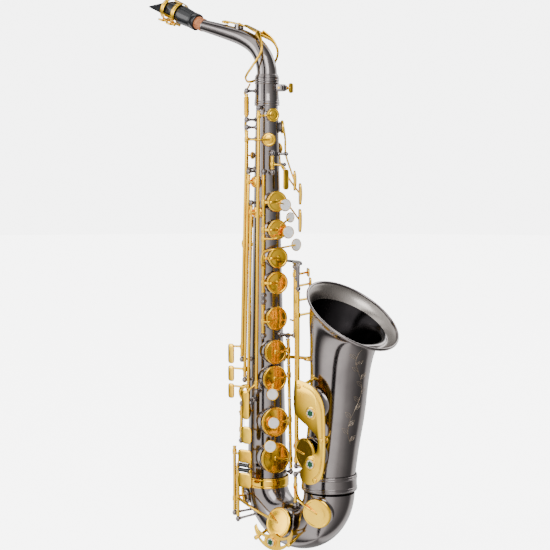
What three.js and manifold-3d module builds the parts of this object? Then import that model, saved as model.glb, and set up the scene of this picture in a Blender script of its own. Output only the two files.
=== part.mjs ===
// Alto saxophone: a conical body tube, a bow and a flared bell, a swivelling neck with its mouthpiece,
// and the keywork, each key a brazed lever that turns on its own hinge.
// Millimetres, +Z up along the body tube. +X is the front, where the bell is, and -Y is the player's
// right. Shapes are laid out with z = 0 at the lowest point of the bow and x = y = 0 on the axis of the
// body tube. The whole is then moved so that the origin is the centre of the neck strap's ring.
import * as THREE from 'three';
import { mergeVertices } from 'three/addons/utils/BufferGeometryUtils.js';
import Module from 'manifold-3d';

const wasm = await Module();
wasm.setup();

// ---------------------------------------------------------------- driving dimensions
const GAP = 0.3; // between two pieces that touch
const WALL = 1; // sheet of the tubes
const BODY_TOP = 536; // the body tube is a straight cone
const BODY_BOTTOM = 76;
const BODY_R_TOP = 12.9;
const BODY_R_BOTTOM = 23.9;
const BOW_PITCH = 47.9; // radius of the bow's centre line
const BOW_LEVEL = 75.4; // height where the bow's half circle begins
const BOW_R_START = 24;
const BOW_R_END = 30.2;
const BELL_BASE = 90; // the bell's tube starts above the bow ring
const BELL_R_BASE = 30.4;
const BELL_RIM_R = 60.7;
const RECEIVER_BOTTOM = 527;
const RECEIVER_TOP = 560;
const NECK_R_BASE = 12.2;
const NECK_R_TIP = 7.3;
const CORK_R = 8;
const MOUTHPIECE_RISE = 21.5; // degrees above level
const MOUTHPIECE_R = 11.4;
const MOUTHPIECE_START = 11.7; // along the cork
const MOUTHPIECE_TIP = 91;
const TABLE = -7.6; // the reed lies on this flat, below the mouthpiece's axis
const LIGATURE_R = 12.8;
const LIGATURE_RAIL = -14.2; // the screws cross between two rails at this depth below the axis
const LIGATURE_SCREWS = [47, 61];
const TONE_RIM = 3; // a tone hole's rim stands this far off the tube
const CUP_THICK = 3.4; // key cup with its pad
const TUBE_R = 2; // hinge tubes
const ARM_R = 1.3; // key arms
const POST_R = 1.5;
const BALL_R = 3;
const BODY_SIDES = 20;
const RIM_SIDES = 8;
const STRAP_RING = new THREE.Vector3(-32, 0, 361);

// ---------------------------------------------------------------- finishes
const finish = (color, roughness, metalness) => new THREE.MeshStandardMaterial({ color, roughness,
  metalness });
const NICKEL = finish(0x4b4442, 0.28, 1); // black nickel plating
const GOLD = finish(0xe3bd6c, 0.22, 1); // clear lacquered brass
const STEEL = finish(0xb9b9b6, 0.3, 1);
const EBONITE = finish(0x14171a, 0.25, 0);
const CORK = finish(0xb5653a, 0.8, 0);
const CANE = finish(0xd9bd83, 0.6, 0);

// ---------------------------------------------------------------- solids
const vec = (x, y, z) => new THREE.Vector3(x, y, z);
const rad = THREE.MathUtils.degToRad;

// A closed three.js geometry as a solid, its shared corners merged and its slivers dropped.
function solid(geometry) {
  const bare = geometry.clone();
  bare.deleteAttribute('normal');
  bare.deleteAttribute('uv');
  const merged = mergeVertices(bare, 1e-4);
  const corners = merged.index.array;
  const kept = [];
  for (let i = 0; i < corners.length; i += 3) {
    const [a, b, c] = [corners[i], corners[i + 1], corners[i + 2]];
    if (a !== b && b !== c && c !== a) kept.push(a, b, c);
  }
  return new wasm.Manifold(new wasm.Mesh({
    numProp: 3,
    vertProperties: Float32Array.from(merged.attributes.position.array),
    triVerts: Uint32Array.from(kept),
  }));
}

const join = (...parts) => parts.flat().reduce((whole, part) => whole.add(part));
const cut = (whole, ...tools) => tools.flat().reduce((left, tool) => left.subtract(tool), whole);

// Moves a solid by a three.js matrix.
const moved = (part, matrix) => part.transform(Array.from(matrix.elements));

// A matrix that carries +Z to a direction, +X as near as can be to a second one, and 0 to a point.
function frameAt(origin, along, side = vec(0, 0, 1)) {
  const z = along.clone().normalize();
  const reference = Math.abs(side.dot(z)) > 0.99 * side.length() ? vec(1, 0, 0) : side;
  const y = z.clone().cross(reference).normalize();
  const x = y.clone().cross(z);
  return new THREE.Matrix4().makeBasis(x, y, z).setPosition(origin);
}

// A solid turned about a line through a point.
function turned(part, point, axis, degrees) {
  const there = new THREE.Matrix4().makeTranslation(point.x, point.y, point.z);
  const back = new THREE.Matrix4().makeTranslation(-point.x, -point.y, -point.z);
  const turn = new THREE.Matrix4().makeRotationAxis(axis.clone().normalize(), rad(degrees));
  return moved(part, there.multiply(turn).multiply(back));
}

// A solid of revolution about local +Z from [radius, height] points that run up the outside.
function lathe(profile, sides = 14) {
  const geometry = new THREE.LatheGeometry(profile.map(([r, h]) => new THREE.Vector2(r, h)), sides);
  geometry.rotateX(Math.PI / 2);
  return solid(geometry);
}

// A straight round bar, or a cone when the second radius differs.
function bar(from, to, radius, sides = 6, endRadius = radius) {
  const length = from.distanceTo(to);
  const shape = lathe([[0, 0], [radius, 0], [endRadius, length], [0, length]], sides);
  return moved(shape, frameAt(from, to.clone().sub(from)));
}

const ball = (centre, radius) => {
  const geometry = new THREE.IcosahedronGeometry(radius, 0);
  geometry.translate(centre.x, centre.y, centre.z);
  return solid(geometry);
};

// A round bar bent through points.
function arm(points, radius = ARM_R, steps = 2 * (points.length - 1), sides = 4) {
  const outline = new THREE.Shape();
  outline.absarc(0, 0, radius, 0, 2 * Math.PI);
  const path = new THREE.CatmullRomCurve3(points, false, 'centripetal');
  return solid(new THREE.ExtrudeGeometry(outline, { steps, extrudePath: path, curveSegments: sides / 2,
    bevelEnabled: false }));
}

// A flat plate from a list of corners joined by a smooth closed line, pushed along local +Z.
function plate(corners, thickness, matrix, smooth = 0) {
  const shape = new THREE.Shape();
  if (smooth) {
    const line = new THREE.CatmullRomCurve3(corners.map(([x, y]) => vec(x, y, 0)), true, 'centripetal');
    shape.setFromPoints(line.getPoints(smooth).slice(0, -1).map((p) => new THREE.Vector2(p.x, p.y)));
  } else {
    shape.setFromPoints(corners.map(([x, y]) => new THREE.Vector2(x, y)));
  }
  return moved(solid(new THREE.ExtrudeGeometry(shape, { depth: thickness, bevelEnabled: false })), matrix);
}

// An upright disc with a crowned top: a key cup or a pearl's holder. It stands on a plane.
function cup(centre, normal, radius, thickness = CUP_THICK, sides = 12) {
  const edge = Math.min(1.5, radius / 4);
  const profile = [[0, 0], [radius, 0], [radius, thickness - edge], [radius - edge, thickness],
    [0, thickness]];
  return moved(lathe(profile, sides), frameAt(centre, normal));
}

// Bends a solid of revolution that was made along +Z so that its axis follows a curve in the XZ plane.
function bentTube(profile, curve, sides) {
  const geometry = new THREE.LatheGeometry(profile.map(([r, h]) => new THREE.Vector2(r, h)), sides);
  geometry.rotateX(Math.PI / 2);
  const length = curve.getLength();
  const place = geometry.attributes.position;
  for (let i = 0; i < place.count; i++) {
    const along = THREE.MathUtils.clamp(place.getZ(i) / length, 0, 1);
    const tangent = curve.getTangentAt(along);
    const across = vec(0, 1, 0).cross(tangent).normalize();
    const point = curve.getPointAt(along).addScaledVector(across, place.getX(i));
    place.setXYZ(i, point.x, point.y + place.getY(i), point.z);
  }
  return solid(geometry);
}

// A closed wall between an outer line and the same line one sheet further in.
function shellProfile(outer, wall = WALL) {
  const inner = outer.map(([r, h]) => [r - wall, h]).reverse();
  return [...outer, ...inner, outer[0]];
}

// ---------------------------------------------------------------- the body tube's own coordinates
const bodyR = (z) => BODY_R_TOP + ((BODY_TOP - z) * (BODY_R_BOTTOM - BODY_R_TOP)) / (BODY_TOP - BODY_BOTTOM);
// Degrees run from +X, the front, towards -Y, the player's right.
const outward = (degrees) => vec(Math.cos(rad(degrees)), -Math.sin(rad(degrees)), 0);
const at = (z, degrees, radius) => outward(degrees).multiplyScalar(radius).setZ(z);

// The bow's centre line, a half circle, and the bell's, which leans forward near the mouth.
const bowCentre = vec(BOW_PITCH, 0, BOW_LEVEL);
const bowPoint = (turn) => vec(-Math.cos(turn), 0, -Math.sin(turn)).multiplyScalar(BOW_PITCH).add(bowCentre);
class BowLine extends THREE.Curve {
  getPoint(t) {
    return bowPoint(Math.PI * t);
  }
}
const bowLine = new BowLine();
const bellX = 2 * BOW_PITCH;
const bellLine = new THREE.CatmullRomCurve3([
  vec(bellX, 0, BELL_BASE), vec(bellX + 0.2, 0, 97), vec(bellX + 4.6, 0, 130), vec(bellX + 11.2, 0, 173),
  vec(bellX + 15, 0, 215), vec(bellX + 17.6, 0, 240), vec(bellX + 21.8, 0, 262), vec(bellX + 26.6, 0, 275.6),
  vec(bellX + 34.7, 0, 287),
]);

// ---------------------------------------------------------------- tone holes and their keys' places
// Each hole is [height, degrees, cup radius] on the body tube.
const HOLES = {
  b: [414, 17, 12.4], bis: [380.7, 17, 12], a: [347.2, 16, 12.4], g: [317.6, 20, 13.4],
  g_sharp: [274.8, 21, 14.3], f_sharp: [235.3, 30, 14.5], f: [203.5, 33, 15.5], e: [151.5, 33, 17.6],
  d: [108.1, 33, 18.5],
  high_f_sharp: [516, 26, 8], high_e: [487, 43, 8.2], side_c: [437, 95, 6.8], side_b_flat: [401, 83, 6.8],
  palm_f: [502, -48, 8], palm_d: [476, -90, 8], palm_e_flat: [450, -133, 8.4], trill: [160, 145, 8],
  octave: [468, 165, 4.5],
};
const rimHeight = (name) => bodyR(HOLES[name][0]) + TONE_RIM;
const seat = (name) => at(HOLES[name][0], HOLES[name][1], rimHeight(name) + GAP);

// The rim of one tone hole, from inside the tube's wall to the rim, and the hole through it.
function chimney(point, normal, depth, radius) {
  const start = point.clone().addScaledVector(normal, -depth);
  return {
    wall: bar(start, point, radius, RIM_SIDES),
    bore: bar(start.clone().addScaledVector(normal, -2), point.clone().addScaledVector(normal, 5),
      radius - 1.3, RIM_SIDES),
  };
}

const bodyChimneys = Object.entries(HOLES).map(([name, [z, degrees, radius]]) =>
  chimney(at(z, degrees, rimHeight(name)), outward(degrees), TONE_RIM + bodyR(z) * 0.6, radius - 1.6));

// Hinges: [lowest end, highest end, degrees and lift off the body at each end].
const HINGES = {
  upper_stack: { low: at(306, 60, bodyR(306) + 8), high: at(446, 60, bodyR(446) + 8) },
  g_sharp: { low: at(258, 60, bodyR(258) + 8), high: at(292, 60, bodyR(292) + 8) },
  lower_stack: { low: at(92, -14, bodyR(92) + 8.5), high: at(250, -14, bodyR(250) + 8.5) },
  high_f_sharp: { low: at(192, 73, bodyR(192) + 11), high: at(521, 73, bodyR(521) + 11) },
  side_b_flat: { low: at(180, 98, bodyR(180) + 9), high: at(409, 98, bodyR(409) + 9) },
  side_c: { low: at(204, 110, bodyR(204) + 10), high: at(446, 110, bodyR(446) + 10) },
  high_e: { low: at(228, 121, bodyR(228) + 11.5), high: at(498, 121, bodyR(498) + 11.5) },
  trill: { low: at(130, 118, bodyR(130) + 11), high: at(168, 118, bodyR(168) + 11) },
  octave_lever: { low: at(514, 125, 25), high: at(541, 125, 25) },
  octave_vent: { low: at(456, 140, 24), high: at(484, 140, 24) },
  front_f: { low: at(452, 33, bodyR(452) + 7), high: at(468, 33, bodyR(468) + 7) },
  low_e_flat: { low: vec(-22, -34.5, 42), high: vec(-22, -34.5, 120) },
  low_c: { low: vec(-14, -37.5, 36), high: vec(-14, -37.5, 97) },
  low_c_sharp: { low: vec(60, -19, 60), high: vec(60, -19, 90) },
  g_sharp_lever: { low: vec(44, -1, 259), high: vec(44, -1, 334) },
  low_c_sharp_lever: { low: vec(51, -7, 104), high: vec(51, -7, 334) },
  low_b: { low: vec(56, -11.5, 118), high: vec(56, -11.5, 322) },
  low_b_flat: { low: vec(61, -15.5, 176), high: vec(61, -15.5, 310) },
};
const onHinge = (name, z) => {
  const { low, high } = HINGES[name];
  return low.clone().lerp(high, (z - low.z) / (high.z - low.z));
};
const hingeAxis = (name) => HINGES[name].high.clone().sub(HINGES[name].low).normalize();
const pinHole = (name) => bar(onHinge(name, HINGES[name].low.z - 8), onHinge(name, HINGES[name].high.z + 8),
  1.3, 6);
const hingeTube = (name, z0, z1) => bar(onHinge(name, z0), onHinge(name, z1), TUBE_R, 6);

// A ball post: a foot in the wall, a stem and a ball that holds the end of a hinge.
function post(hinge, z, foot) {
  const end = onHinge(hinge, z);
  return [bar(foot, end, POST_R, 5), ball(end, BALL_R)];
}
// A post that stands straight out of the body tube.
const bodyPost = (hinge, z) => {
  const end = onHinge(hinge, z);
  const foot = end.clone().setZ(0).setLength(bodyR(z) - 0.6).setZ(z);
  return post(hinge, z, foot);
};

// The palm keys rock on short pins that lie across the tube: [height, degrees, radius].
const PALM_PIVOTS = { palm_f: [470, -48, 22.6], palm_d: [457, -84, 23.2], palm_e_flat: [424, -112, 24] };
const acrossTube = (degrees) => outward(degrees + 90);
const palmPosts = () => Object.values(PALM_PIVOTS).flatMap(([z, degrees, radius]) => [-1, 1].map((side) => {
  const aside = acrossTube(degrees).multiplyScalar(6.2 * side);
  const end = at(z, degrees, radius).add(aside);
  return join(bar(at(z, degrees, bodyR(z) * 0.8).add(aside), end, POST_R, 5), ball(end, 2.4));
}));

// ---------------------------------------------------------------- the tubes
function makeBodyTube() {
  const cone = lathe([[0, BODY_BOTTOM], [BODY_R_BOTTOM, BODY_BOTTOM], [BODY_R_TOP, BODY_TOP], [0, BODY_TOP]],
    BODY_SIDES);
  const inside = lathe([[0, BODY_BOTTOM - 1], [BODY_R_BOTTOM - WALL, BODY_BOTTOM - 1],
    [BODY_R_TOP - WALL, BODY_TOP + 1],
    [0, BODY_TOP + 1]], BODY_SIDES);
  const posts = [
    bodyPost('upper_stack', 302.5), bodyPost('upper_stack', 449.5), bodyPost('lower_stack', 88.5),
    bodyPost('lower_stack', 253.5), bodyPost('g_sharp', 254.5), bodyPost('g_sharp', 295.5),
    bodyPost('high_f_sharp', 524.5),
    bodyPost('high_f_sharp', 188.5), bodyPost('side_b_flat', 412.5), bodyPost('side_b_flat', 176.5),
    bodyPost('side_c', 449.5),
    bodyPost('side_c', 200.5), bodyPost('high_e', 501.5), bodyPost('high_e', 224.5), bodyPost('trill', 171.5),
    bodyPost('trill', 126.5), bodyPost('front_f', 448.5), bodyPost('front_f', 471.5), palmPosts(),
    post('g_sharp_lever', 255.5, at(255.5, 0, bodyR(255.5) - 0.6)),
    post('octave_lever', 510.5, at(510.5, 150, bodyR(510.5) - 0.6)),
    post('octave_vent', 452.5, at(452.5, 150, bodyR(452.5) - 0.6)),
    post('octave_vent', 487.5, at(487.5, 150, bodyR(487.5) - 0.6)),
  ];
  const outer = join(cone, bodyChimneys.map((c) => c.wall), posts.flat());
  return cut(outer, inside, bodyChimneys.map((c) => c.bore), pinHole('upper_stack'), pinHole('lower_stack'));
}

function makeReceiver() {
  const bore = BODY_R_TOP + 0.75;
  const sleeve = lathe([
    [bore, RECEIVER_BOTTOM], [bore + 1.4, RECEIVER_BOTTOM], [bore + 1.1, 529], [bore + 1.6, 531.5],
    [bore + 1.1, 534],
    [13.8, 541], [13.8, 555], [14.6, 556], [14.6, RECEIVER_TOP],
    [12.3, RECEIVER_TOP], [12.3, BODY_TOP + 1.2], [bore, BODY_TOP + GAP], [bore, RECEIVER_BOTTOM]], 24);
  const octavePost = post('octave_lever', 544.5, at(544.5, 135, 13));
  const lugs = bar(vec(12.6, 5, 548), vec(25, 5, 548), 4.2, 10);
  const slit = solid(new THREE.BoxGeometry(14, 1, 14)).translate([20, 5, 554]);
  const clear = lathe([[0, 515], [12.3, 515], [12.3, 565], [0, 565]], 24);
  const screwHole = bar(vec(20.5, 17, 548), vec(20.5, -5, 548), 1.9, 8);
  return cut(join(sleeve, lugs, octavePost), cut(slit, clear), clear, screwHole);
}

const bowRadius = (s) => BOW_R_START + (BOW_R_END - BOW_R_START) * s;
const BOW_KEYS = {
  low_e_flat: { angle: 15, degrees: 28, radius: 12 },
  low_c: { angle: 88, degrees: 106, radius: 18.5 },
  low_c_sharp: { angle: 160, degrees: 71, radius: 17.5 },
};
// The seat of a bow key: angle runs along the bow from the body side, and degrees turn the seat round the
// tube, from the outside of the bend to the player's right and on to the inside.
function bowSeat({ angle, degrees }, lift = TONE_RIM) {
  const centre = bowPoint(rad(angle));
  const out = centre.clone().sub(bowCentre).normalize();
  const normal = vec(0, -1, 0).multiplyScalar(Math.sin(rad(degrees))).addScaledVector(out,
    Math.cos(rad(degrees)));
  const radius = bowRadius(angle / 180);
  return { point: centre.addScaledVector(normal, radius + lift), normal, radius };
}

function makeBow() {
  const length = bowLine.getLength();
  const outer = Array.from({ length: 11 }, (_, i) => [bowRadius(i / 10), (length * i) / 10]);
  const skin = bentTube([[0, 0], ...outer, [0, length]], bowLine, 16);
  const inside = bentTube([[0, 0], ...outer.map(([r, h]) => [r - WALL, h]), [0, length]], bowLine, 16);
  const longer = [bar(vec(0, 0, BOW_LEVEL - 1), vec(0, 0, BOW_LEVEL + 2), BOW_R_START - WALL, 16),
    bar(vec(bellX, 0, BOW_LEVEL - 1), vec(bellX, 0, BOW_LEVEL + 2), BOW_R_END - WALL, 16)];
  const holes = Object.values(BOW_KEYS).map((key) => {
    const { point, normal, radius } = bowSeat(key);
    return chimney(point, normal, TONE_RIM + radius * 0.6, key.radius - 1.6);
  });
  const posts = [
    post('low_e_flat', 38.5, vec(6, -18, 46)), post('low_c', 32.5, vec(12, -18, 42)),
    post('low_c_sharp', 56.5, vec(72, -14, 57)),
  ];
  return cut(join(skin, holes.map((h) => h.wall), posts.flat()), inside, longer, holes.map((h) => h.bore));
}

function makeBell() {
  const length = bellLine.getLength();
  const flare = [[BELL_R_BASE, 0], [31.2, 40], [32.6, 80], [34.2, 120], [36.4, 145], [39.5, 166],
    [44.4, 181.5],
    [51, 193], [BELL_RIM_R - 1.5, length - 1.5]];
  const rim = [[BELL_RIM_R, length - 2], [BELL_RIM_R, length], [BELL_RIM_R - 1.4, length + 0.1]];
  const inner = flare.map(([r, h]) => [r - WALL, h]).reverse();
  inner[0] = [BELL_RIM_R - 3, length - 1];
  const wall = bentTube([...flare, ...rim, ...inner, flare[0]], bellLine, 24);
  const core = bentTube([[0, -1], ...flare.map(([r, h]) => [r - WALL, h]), [BELL_RIM_R - 3, length],
    [0, length]], bellLine, 24);
  const holes = Object.values(BELL_KEYS).map((key) => {
    const { point, normal } = bellSeat(key);
    return chimney(point, normal, TONE_RIM + 16, key.radius - 1.6);
  });
  const posts = [
    post('low_c_sharp_lever', 100.5, vec(68, -8, 100.5)), post('low_c_sharp', 93.5, vec(72.5, -17, 102)),
    post('low_b', 114.5, vec(72, -12, 114.5)), post('low_b_flat', 172.5, vec(80, -14, 172.5)),
  ];
  return cut(join(wall, cut(join(holes.map((h) => h.wall), posts.flat()), core)), holes.map((h) => h.bore));
}
const BELL_KEYS = { low_b: { z: 126, degrees: 97, radius: 18.5 },
  low_b_flat: { z: 183, degrees: 105, radius: 19 } };
const bellAxisAt = (z) => {
  const curve = bellLine.getSpacedPoints(60);
  return curve.reduce((best, p) => (Math.abs(p.z - z) < Math.abs(best.z - z) ? p : best)).clone();
};
function bellSeat({ z, degrees }, lift = TONE_RIM) {
  const radius = z < 150 ? 31.6 : 33.6;
  const normal = outward(degrees);
  return { point: bellAxisAt(z).addScaledVector(normal, radius + lift), normal };
}

// A band round two tube ends.
const band = (x, low, high, radius, thickness) => lathe([
  [radius, low], [radius + thickness, low], [radius + thickness, high], [radius, high], [radius, low],
], 24).translate([x, 0, 0]);

// ---------------------------------------------------------------- keys
const cupTop = (name, extra = 0) => at(HOLES[name][0], HOLES[name][1],
  rimHeight(name) + GAP + CUP_THICK - 0.6 + extra);
const bodyCup = (name) => cup(seat(name), outward(HOLES[name][1]), HOLES[name][2]);
const pearlHolder = (z, degrees, radius, size, facing) => cup(at(z, degrees, radius), outward(facing), size,
  2.4, 12);
const stalk = (z, degrees, radius) => bar(at(z, degrees, radius - 7), at(z, degrees, radius + 1), 2.4, 6);
const openTurn = { upper_stack: -11, lower_stack: 9 };

// One key of a stack: it stands open, so its cup is built shut and then turned up off its rim.
function stackKey(line, hole, [z0, z1], armZ, extras) {
  const [z, degrees] = HOLES[hole];
  const pivot = onHinge(line, z);
  const lift = (part) => turned(part, pivot, hingeAxis(line), openTurn[line]);
  const start = onHinge(line, armZ);
  const over = start.clone().lerp(cupTop(hole), 0.42).add(outward(degrees).multiplyScalar(5));
  const reach = lift(arm([start, over, cupTop(hole)], ARM_R, 4));
  const tube = hingeTube(line, z0 + GAP, z1 - GAP);
  return cut(join(tube, lift(bodyCup(hole)), reach, extras), pinHole(line));
}

// A key that stands shut: its cup rests on the rim and its touch is reached over other pieces.
const shutKey = (line, [z0, z1], parts) => join(hingeTube(line, z0, z1), parts);

// A round-ended touch plate that faces a direction. Height runs along Z.
function touch(centre, facing, width, height, thickness = 1.8) {
  const corner = Math.min(width, height) * 0.3;
  const [w, h] = [width / 2, height / 2];
  const outline = [[-h, -w + corner], [-h + corner, -w], [h - corner, -w], [h, -w + corner], [h, w - corner],
    [h - corner, w], [-h + corner, w], [-h, w - corner]];
  return plate(outline, thickness, frameAt(centre.clone().addScaledVector(facing, -thickness / 2), facing));
}

const right = vec(0, -1, 0);
const sideTouch = (line, z, height) => [
  touch(vec(-29, -32.5, z), right, 9, height),
  arm([onHinge(line, z + height / 2 - 3), vec(-27, -32, z + height / 2 - 3)], 1.5, 2),
];

const palmArm = (points) => arm(points, 1.5, 7);
function palmKey(hole, points, touchAt, facing, width, height) {
  return join(bodyCup(hole), palmArm([cupTop(hole), ...points, touchAt]),
    touch(touchAt, facing, width, height, 2));
}

// ---------------------------------------------------------------- neck and mouthpiece
const neckLine = new THREE.CatmullRomCurve3([
  vec(0, 0, RECEIVER_TOP + GAP), vec(-0.6, 0, 571), vec(-6, 0, 585.5), vec(-18, 0, 598.5), vec(-38, 0, 608.6),
  vec(-67, 0, 616.9), vec(-100, 0, 625.2),
]);
const neckEnd = neckLine.getPointAt(1);
const blow = vec(-Math.cos(rad(MOUTHPIECE_RISE)), 0, Math.sin(rad(MOUTHPIECE_RISE)));
const alongNeck = (s) => neckEnd.clone().addScaledVector(blow, s);
const mouthFrame = frameAt(neckEnd, blow); // local +X is the top of the mouthpiece
const local = (part) => moved(part, mouthFrame);

function makeNeck() {
  const length = neckLine.getLength();
  const outer = Array.from({ length: 11 }, (_, i) => [NECK_R_BASE + ((NECK_R_TIP - NECK_R_BASE) * i) / 10,
    (length * i) / 10]);
  const skin = bentTube([[0, 0], ...outer, [0, length]], neckLine, 14);
  const tenon = bar(vec(0, 0, BODY_TOP + 2), vec(0, 0, RECEIVER_TOP + 1), 11.9, 20);
  const collar = lathe([[0, RECEIVER_TOP + GAP], [14.2, RECEIVER_TOP + GAP], [14.2, 562.5], [12.8, 563.5],
    [0, 563.5]], 20);
  const inside = bentTube([[0, 0], ...outer.map(([r, h]) => [r - WALL, h]), [0, length]], neckLine, 14);
  const ends = [bar(vec(0, 0, BODY_TOP), vec(0, 0, RECEIVER_TOP + 2), 10.9, 20),
    bar(alongNeck(-3), alongNeck(24), NECK_R_TIP - WALL, 16)];
  const tip = bar(alongNeck(-1), alongNeck(22), NECK_R_TIP, 16);
  const fins = [-1, 1].map((side) => bar(vec(-44, 4 * side, 612), vec(-44, 4 * side, 626), 1.6, 6));
  const vent = bar(vec(-66, 0, 618.6), vec(-65, 0, 625.6), 3, 10);
  return cut(join(skin, tenon, collar, tip, fins, vent), inside, ends,
    bar(vec(-66.3, 0, 618.6), vec(-63, 0, 629.6), 1.6, 6));
}

const makeCork = () => local(lathe([[NECK_R_TIP + GAP, 0.6], [CORK_R, 0.6], [CORK_R, 21.5],
  [NECK_R_TIP + GAP, 21.5],
  [NECK_R_TIP + GAP, 0.6]], 16));

function makeMouthpiece() {
  const [start, tip] = [MOUTHPIECE_START, MOUTHPIECE_TIP];
  const outside = lathe([[0, start], [10, start], [10.5, start + 1], [10.5, start + 5], [10, start + 6],
    [MOUTHPIECE_R, 37],
    [MOUTHPIECE_R, 59], [10.9, tip], [0, tip]], 20);
  const bore = lathe([[0, 5], [CORK_R + GAP, 5], [CORK_R + GAP, 33], [6, 35], [5.5, 65], [0, 67]], 16);
  const slab = solid(new THREE.BoxGeometry(10, 40, 100)).translate([TABLE - 5, 0, tip + 2]);
  const beak = solid(new THREE.BoxGeometry(40, 40, 60)).translate([20, 0, 30]);
  const slope = moved(beak, new THREE.Matrix4().makeTranslation(TABLE + 1.4, 0, tip).multiply(
    new THREE.Matrix4().makeRotationY(rad(-27))).multiply(new THREE.Matrix4().makeTranslation(0, 0, -60)));
  const cheeks = [-1, 1].map((side) => moved(solid(new THREE.BoxGeometry(40, 10, 60)).translate([0, 5 * side,
    0]),
    new THREE.Matrix4().makeTranslation(0, 7.6 * side,
      tip).multiply(new THREE.Matrix4().makeRotationX(rad(6 * side)))));
  const window = solid(new THREE.BoxGeometry(9, 9, 34)).translate([TABLE + 2.5, 0, tip - 22]);
  return local(cut(outside, bore, slab, slope, cheeks, window));
}

function makeReed() {
  const [heel, end] = [43, MOUTHPIECE_TIP - 1.5];
  const outline = [[TABLE - GAP, heel], [TABLE - GAP, end], [TABLE - GAP - 0.4, end],
    [TABLE - GAP - 1.5, end - 20.5],
    [TABLE - GAP - 1.5, heel]];
  const shape = new THREE.Shape(outline.map(([x, y]) => new THREE.Vector2(x, y)));
  const body = solid(new THREE.ExtrudeGeometry(shape, { depth: 11, bevelEnabled: false }));
  const stand = new THREE.Matrix4().makeBasis(vec(1, 0, 0), vec(0, 0, 1), vec(0, -1, 0)).setPosition(0, 5.5,
    0);
  return local(moved(body, stand));
}

function makeLigature() {
  const [low, high] = [42, 66];
  const outer = lathe([[0, low], [LIGATURE_R + 0.9, low], [LIGATURE_R + 0.9, high], [0, high]], 16);
  const inner = lathe([[0, low - 1], [LIGATURE_R, low - 1], [LIGATURE_R, high + 1], [0, high + 1]], 16);
  const hollow = solid(new THREE.BoxGeometry(24, 40, 13)).translate([0, 0, (low + high) / 2]);
  const rails = [-1, 1].map((side) => bar(vec(LIGATURE_RAIL, 4.4 * side, low),
    vec(LIGATURE_RAIL, 4.4 * side, high), 2, 6));
  const crown = solid(new THREE.BoxGeometry(1.4, 8, 20)).translate([LIGATURE_R + 0.2, 0, (low + high) / 2]);
  const bands = cut(outer, inner, hollow);
  const screwHoles = LIGATURE_SCREWS.map((h) => bar(vec(LIGATURE_RAIL, -12, h), vec(LIGATURE_RAIL, 12, h),
    1.3, 6));
  return local(cut(join(bands, crown, cut(join(rails), inner)), screwHoles));
}

const ligatureScrew = (height) => local(join(
  bar(vec(LIGATURE_RAIL, -9, height), vec(LIGATURE_RAIL, 9, height), 1, 6),
  touch(vec(LIGATURE_RAIL, -11.5, height), vec(1, 0, 0), 5, 9, 2),
));

// The key on the neck: a pad arm, a saddle over the bend and a ring that reaches down to the receiver.
function makeNeckOctaveKey() {
  const pad = bar(vec(-66.2, 0, 626.8), vec(-65.4, 0, 629.6), 4.4, 12);
  const lever = arm([vec(-66.6, 0, 629.1), vec(-50, 0, 625.8), vec(-28, 0, 620.2)], 1.3, 6);
  const barrel = bar(vec(-44, -2, 624.6), vec(-44, 2, 624.6), 2.2, 6);
  const saddle = plate([[-7, -4], [6, -6], [18, -6.5], [18, 6.5], [6, 6], [-7, 4]], 1.6,
    frameAt(vec(-27, 0, 619.6), vec(0.42, 0, 0.9), vec(0.9, 0, -0.42)));
  const legs = [-1, 1].map((side) => arm([vec(-12, 5 * side, 613.5), vec(0, 11 * side, 604),
    vec(4, 15.5 * side, 590),
    vec(-6, 18 * side, 575), vec(-20, 15 * side, 562), vec(-27, 5 * side, 556.5), vec(-28, 0, 556)], 1.4,
    11));
  return join(pad, lever, barrel, saddle, legs);
}

function makeOctaveLever() {
  const up = arm([onHinge('octave_lever', 537), at(543, 152, 27), vec(-24.2, -6, 549), vec(-24.2, -3, 553)],
    1.3, 6);
  const down = arm([onHinge('octave_lever', 517), at(503, 158, 27), at(480, 174, 29.5), at(440, 179, 30),
    at(410, 180, 29)], 1.6, 6);
  return join(hingeTube('octave_lever', 514, 541), up, down,
    touch(at(402, 180, 29), outward(180), 13, 20, 2.4));
}

function makeOctaveVentKey() {
  const reach = arm([onHinge('octave_vent', 468), at(468, 155, 24.5), cupTop('octave')], 1.2, 4);
  return join(hingeTube('octave_vent', 456, 484), bodyCup('octave'), reach);
}

const makeHighFSharpKey = () => shutKey('high_f_sharp', [192, 521], [
  bodyCup('high_f_sharp'),
  arm([onHinge('high_f_sharp', 515), at(515.5, 50, 24.5), cupTop('high_f_sharp')], ARM_R, 4),
  arm([onHinge('high_f_sharp', 198), at(192, 82, 37), at(184, 92, 37)], 1.5, 5),
  touch(at(172, 93, 37), right, 11, 35),
]);

const makeHighEKey = () => shutKey('high_e', [228, 498], [
  bodyCup('high_e'),
  arm([onHinge('high_e', 487), at(487, 100, 29.5), at(487, 75, 30), at(487, 54, 25), cupTop('high_e')],
    ARM_R, 8),
  ...sideTouch('high_e', 231, 24),
]);

const makeSideCKey = () => shutKey('side_c', [204, 446], [
  bodyCup('side_c'), arm([onHinge('side_c', 437), cupTop('side_c', 0.6)], ARM_R, 2),
  ...sideTouch('side_c', 207, 19),
]);

const makeSideBFlatKey = () => shutKey('side_b_flat', [180, 409], [
  bodyCup('side_b_flat'), arm([onHinge('side_b_flat', 401), cupTop('side_b_flat', 0.4)], ARM_R, 2),
  ...sideTouch('side_b_flat', 186, 18),
]);

const makeTrillKey = () => shutKey('trill', [130, 168], [
  bodyCup('trill'), arm([onHinge('trill', 160), at(160, 132, 33), cupTop('trill')], ARM_R, 4),
  arm([onHinge('trill', 140), vec(-8, -37, 138), vec(-2, -38.5, 137)], ARM_R, 4),
  touch(vec(1, -39, 136), right, 16, 21),
]);

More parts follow.
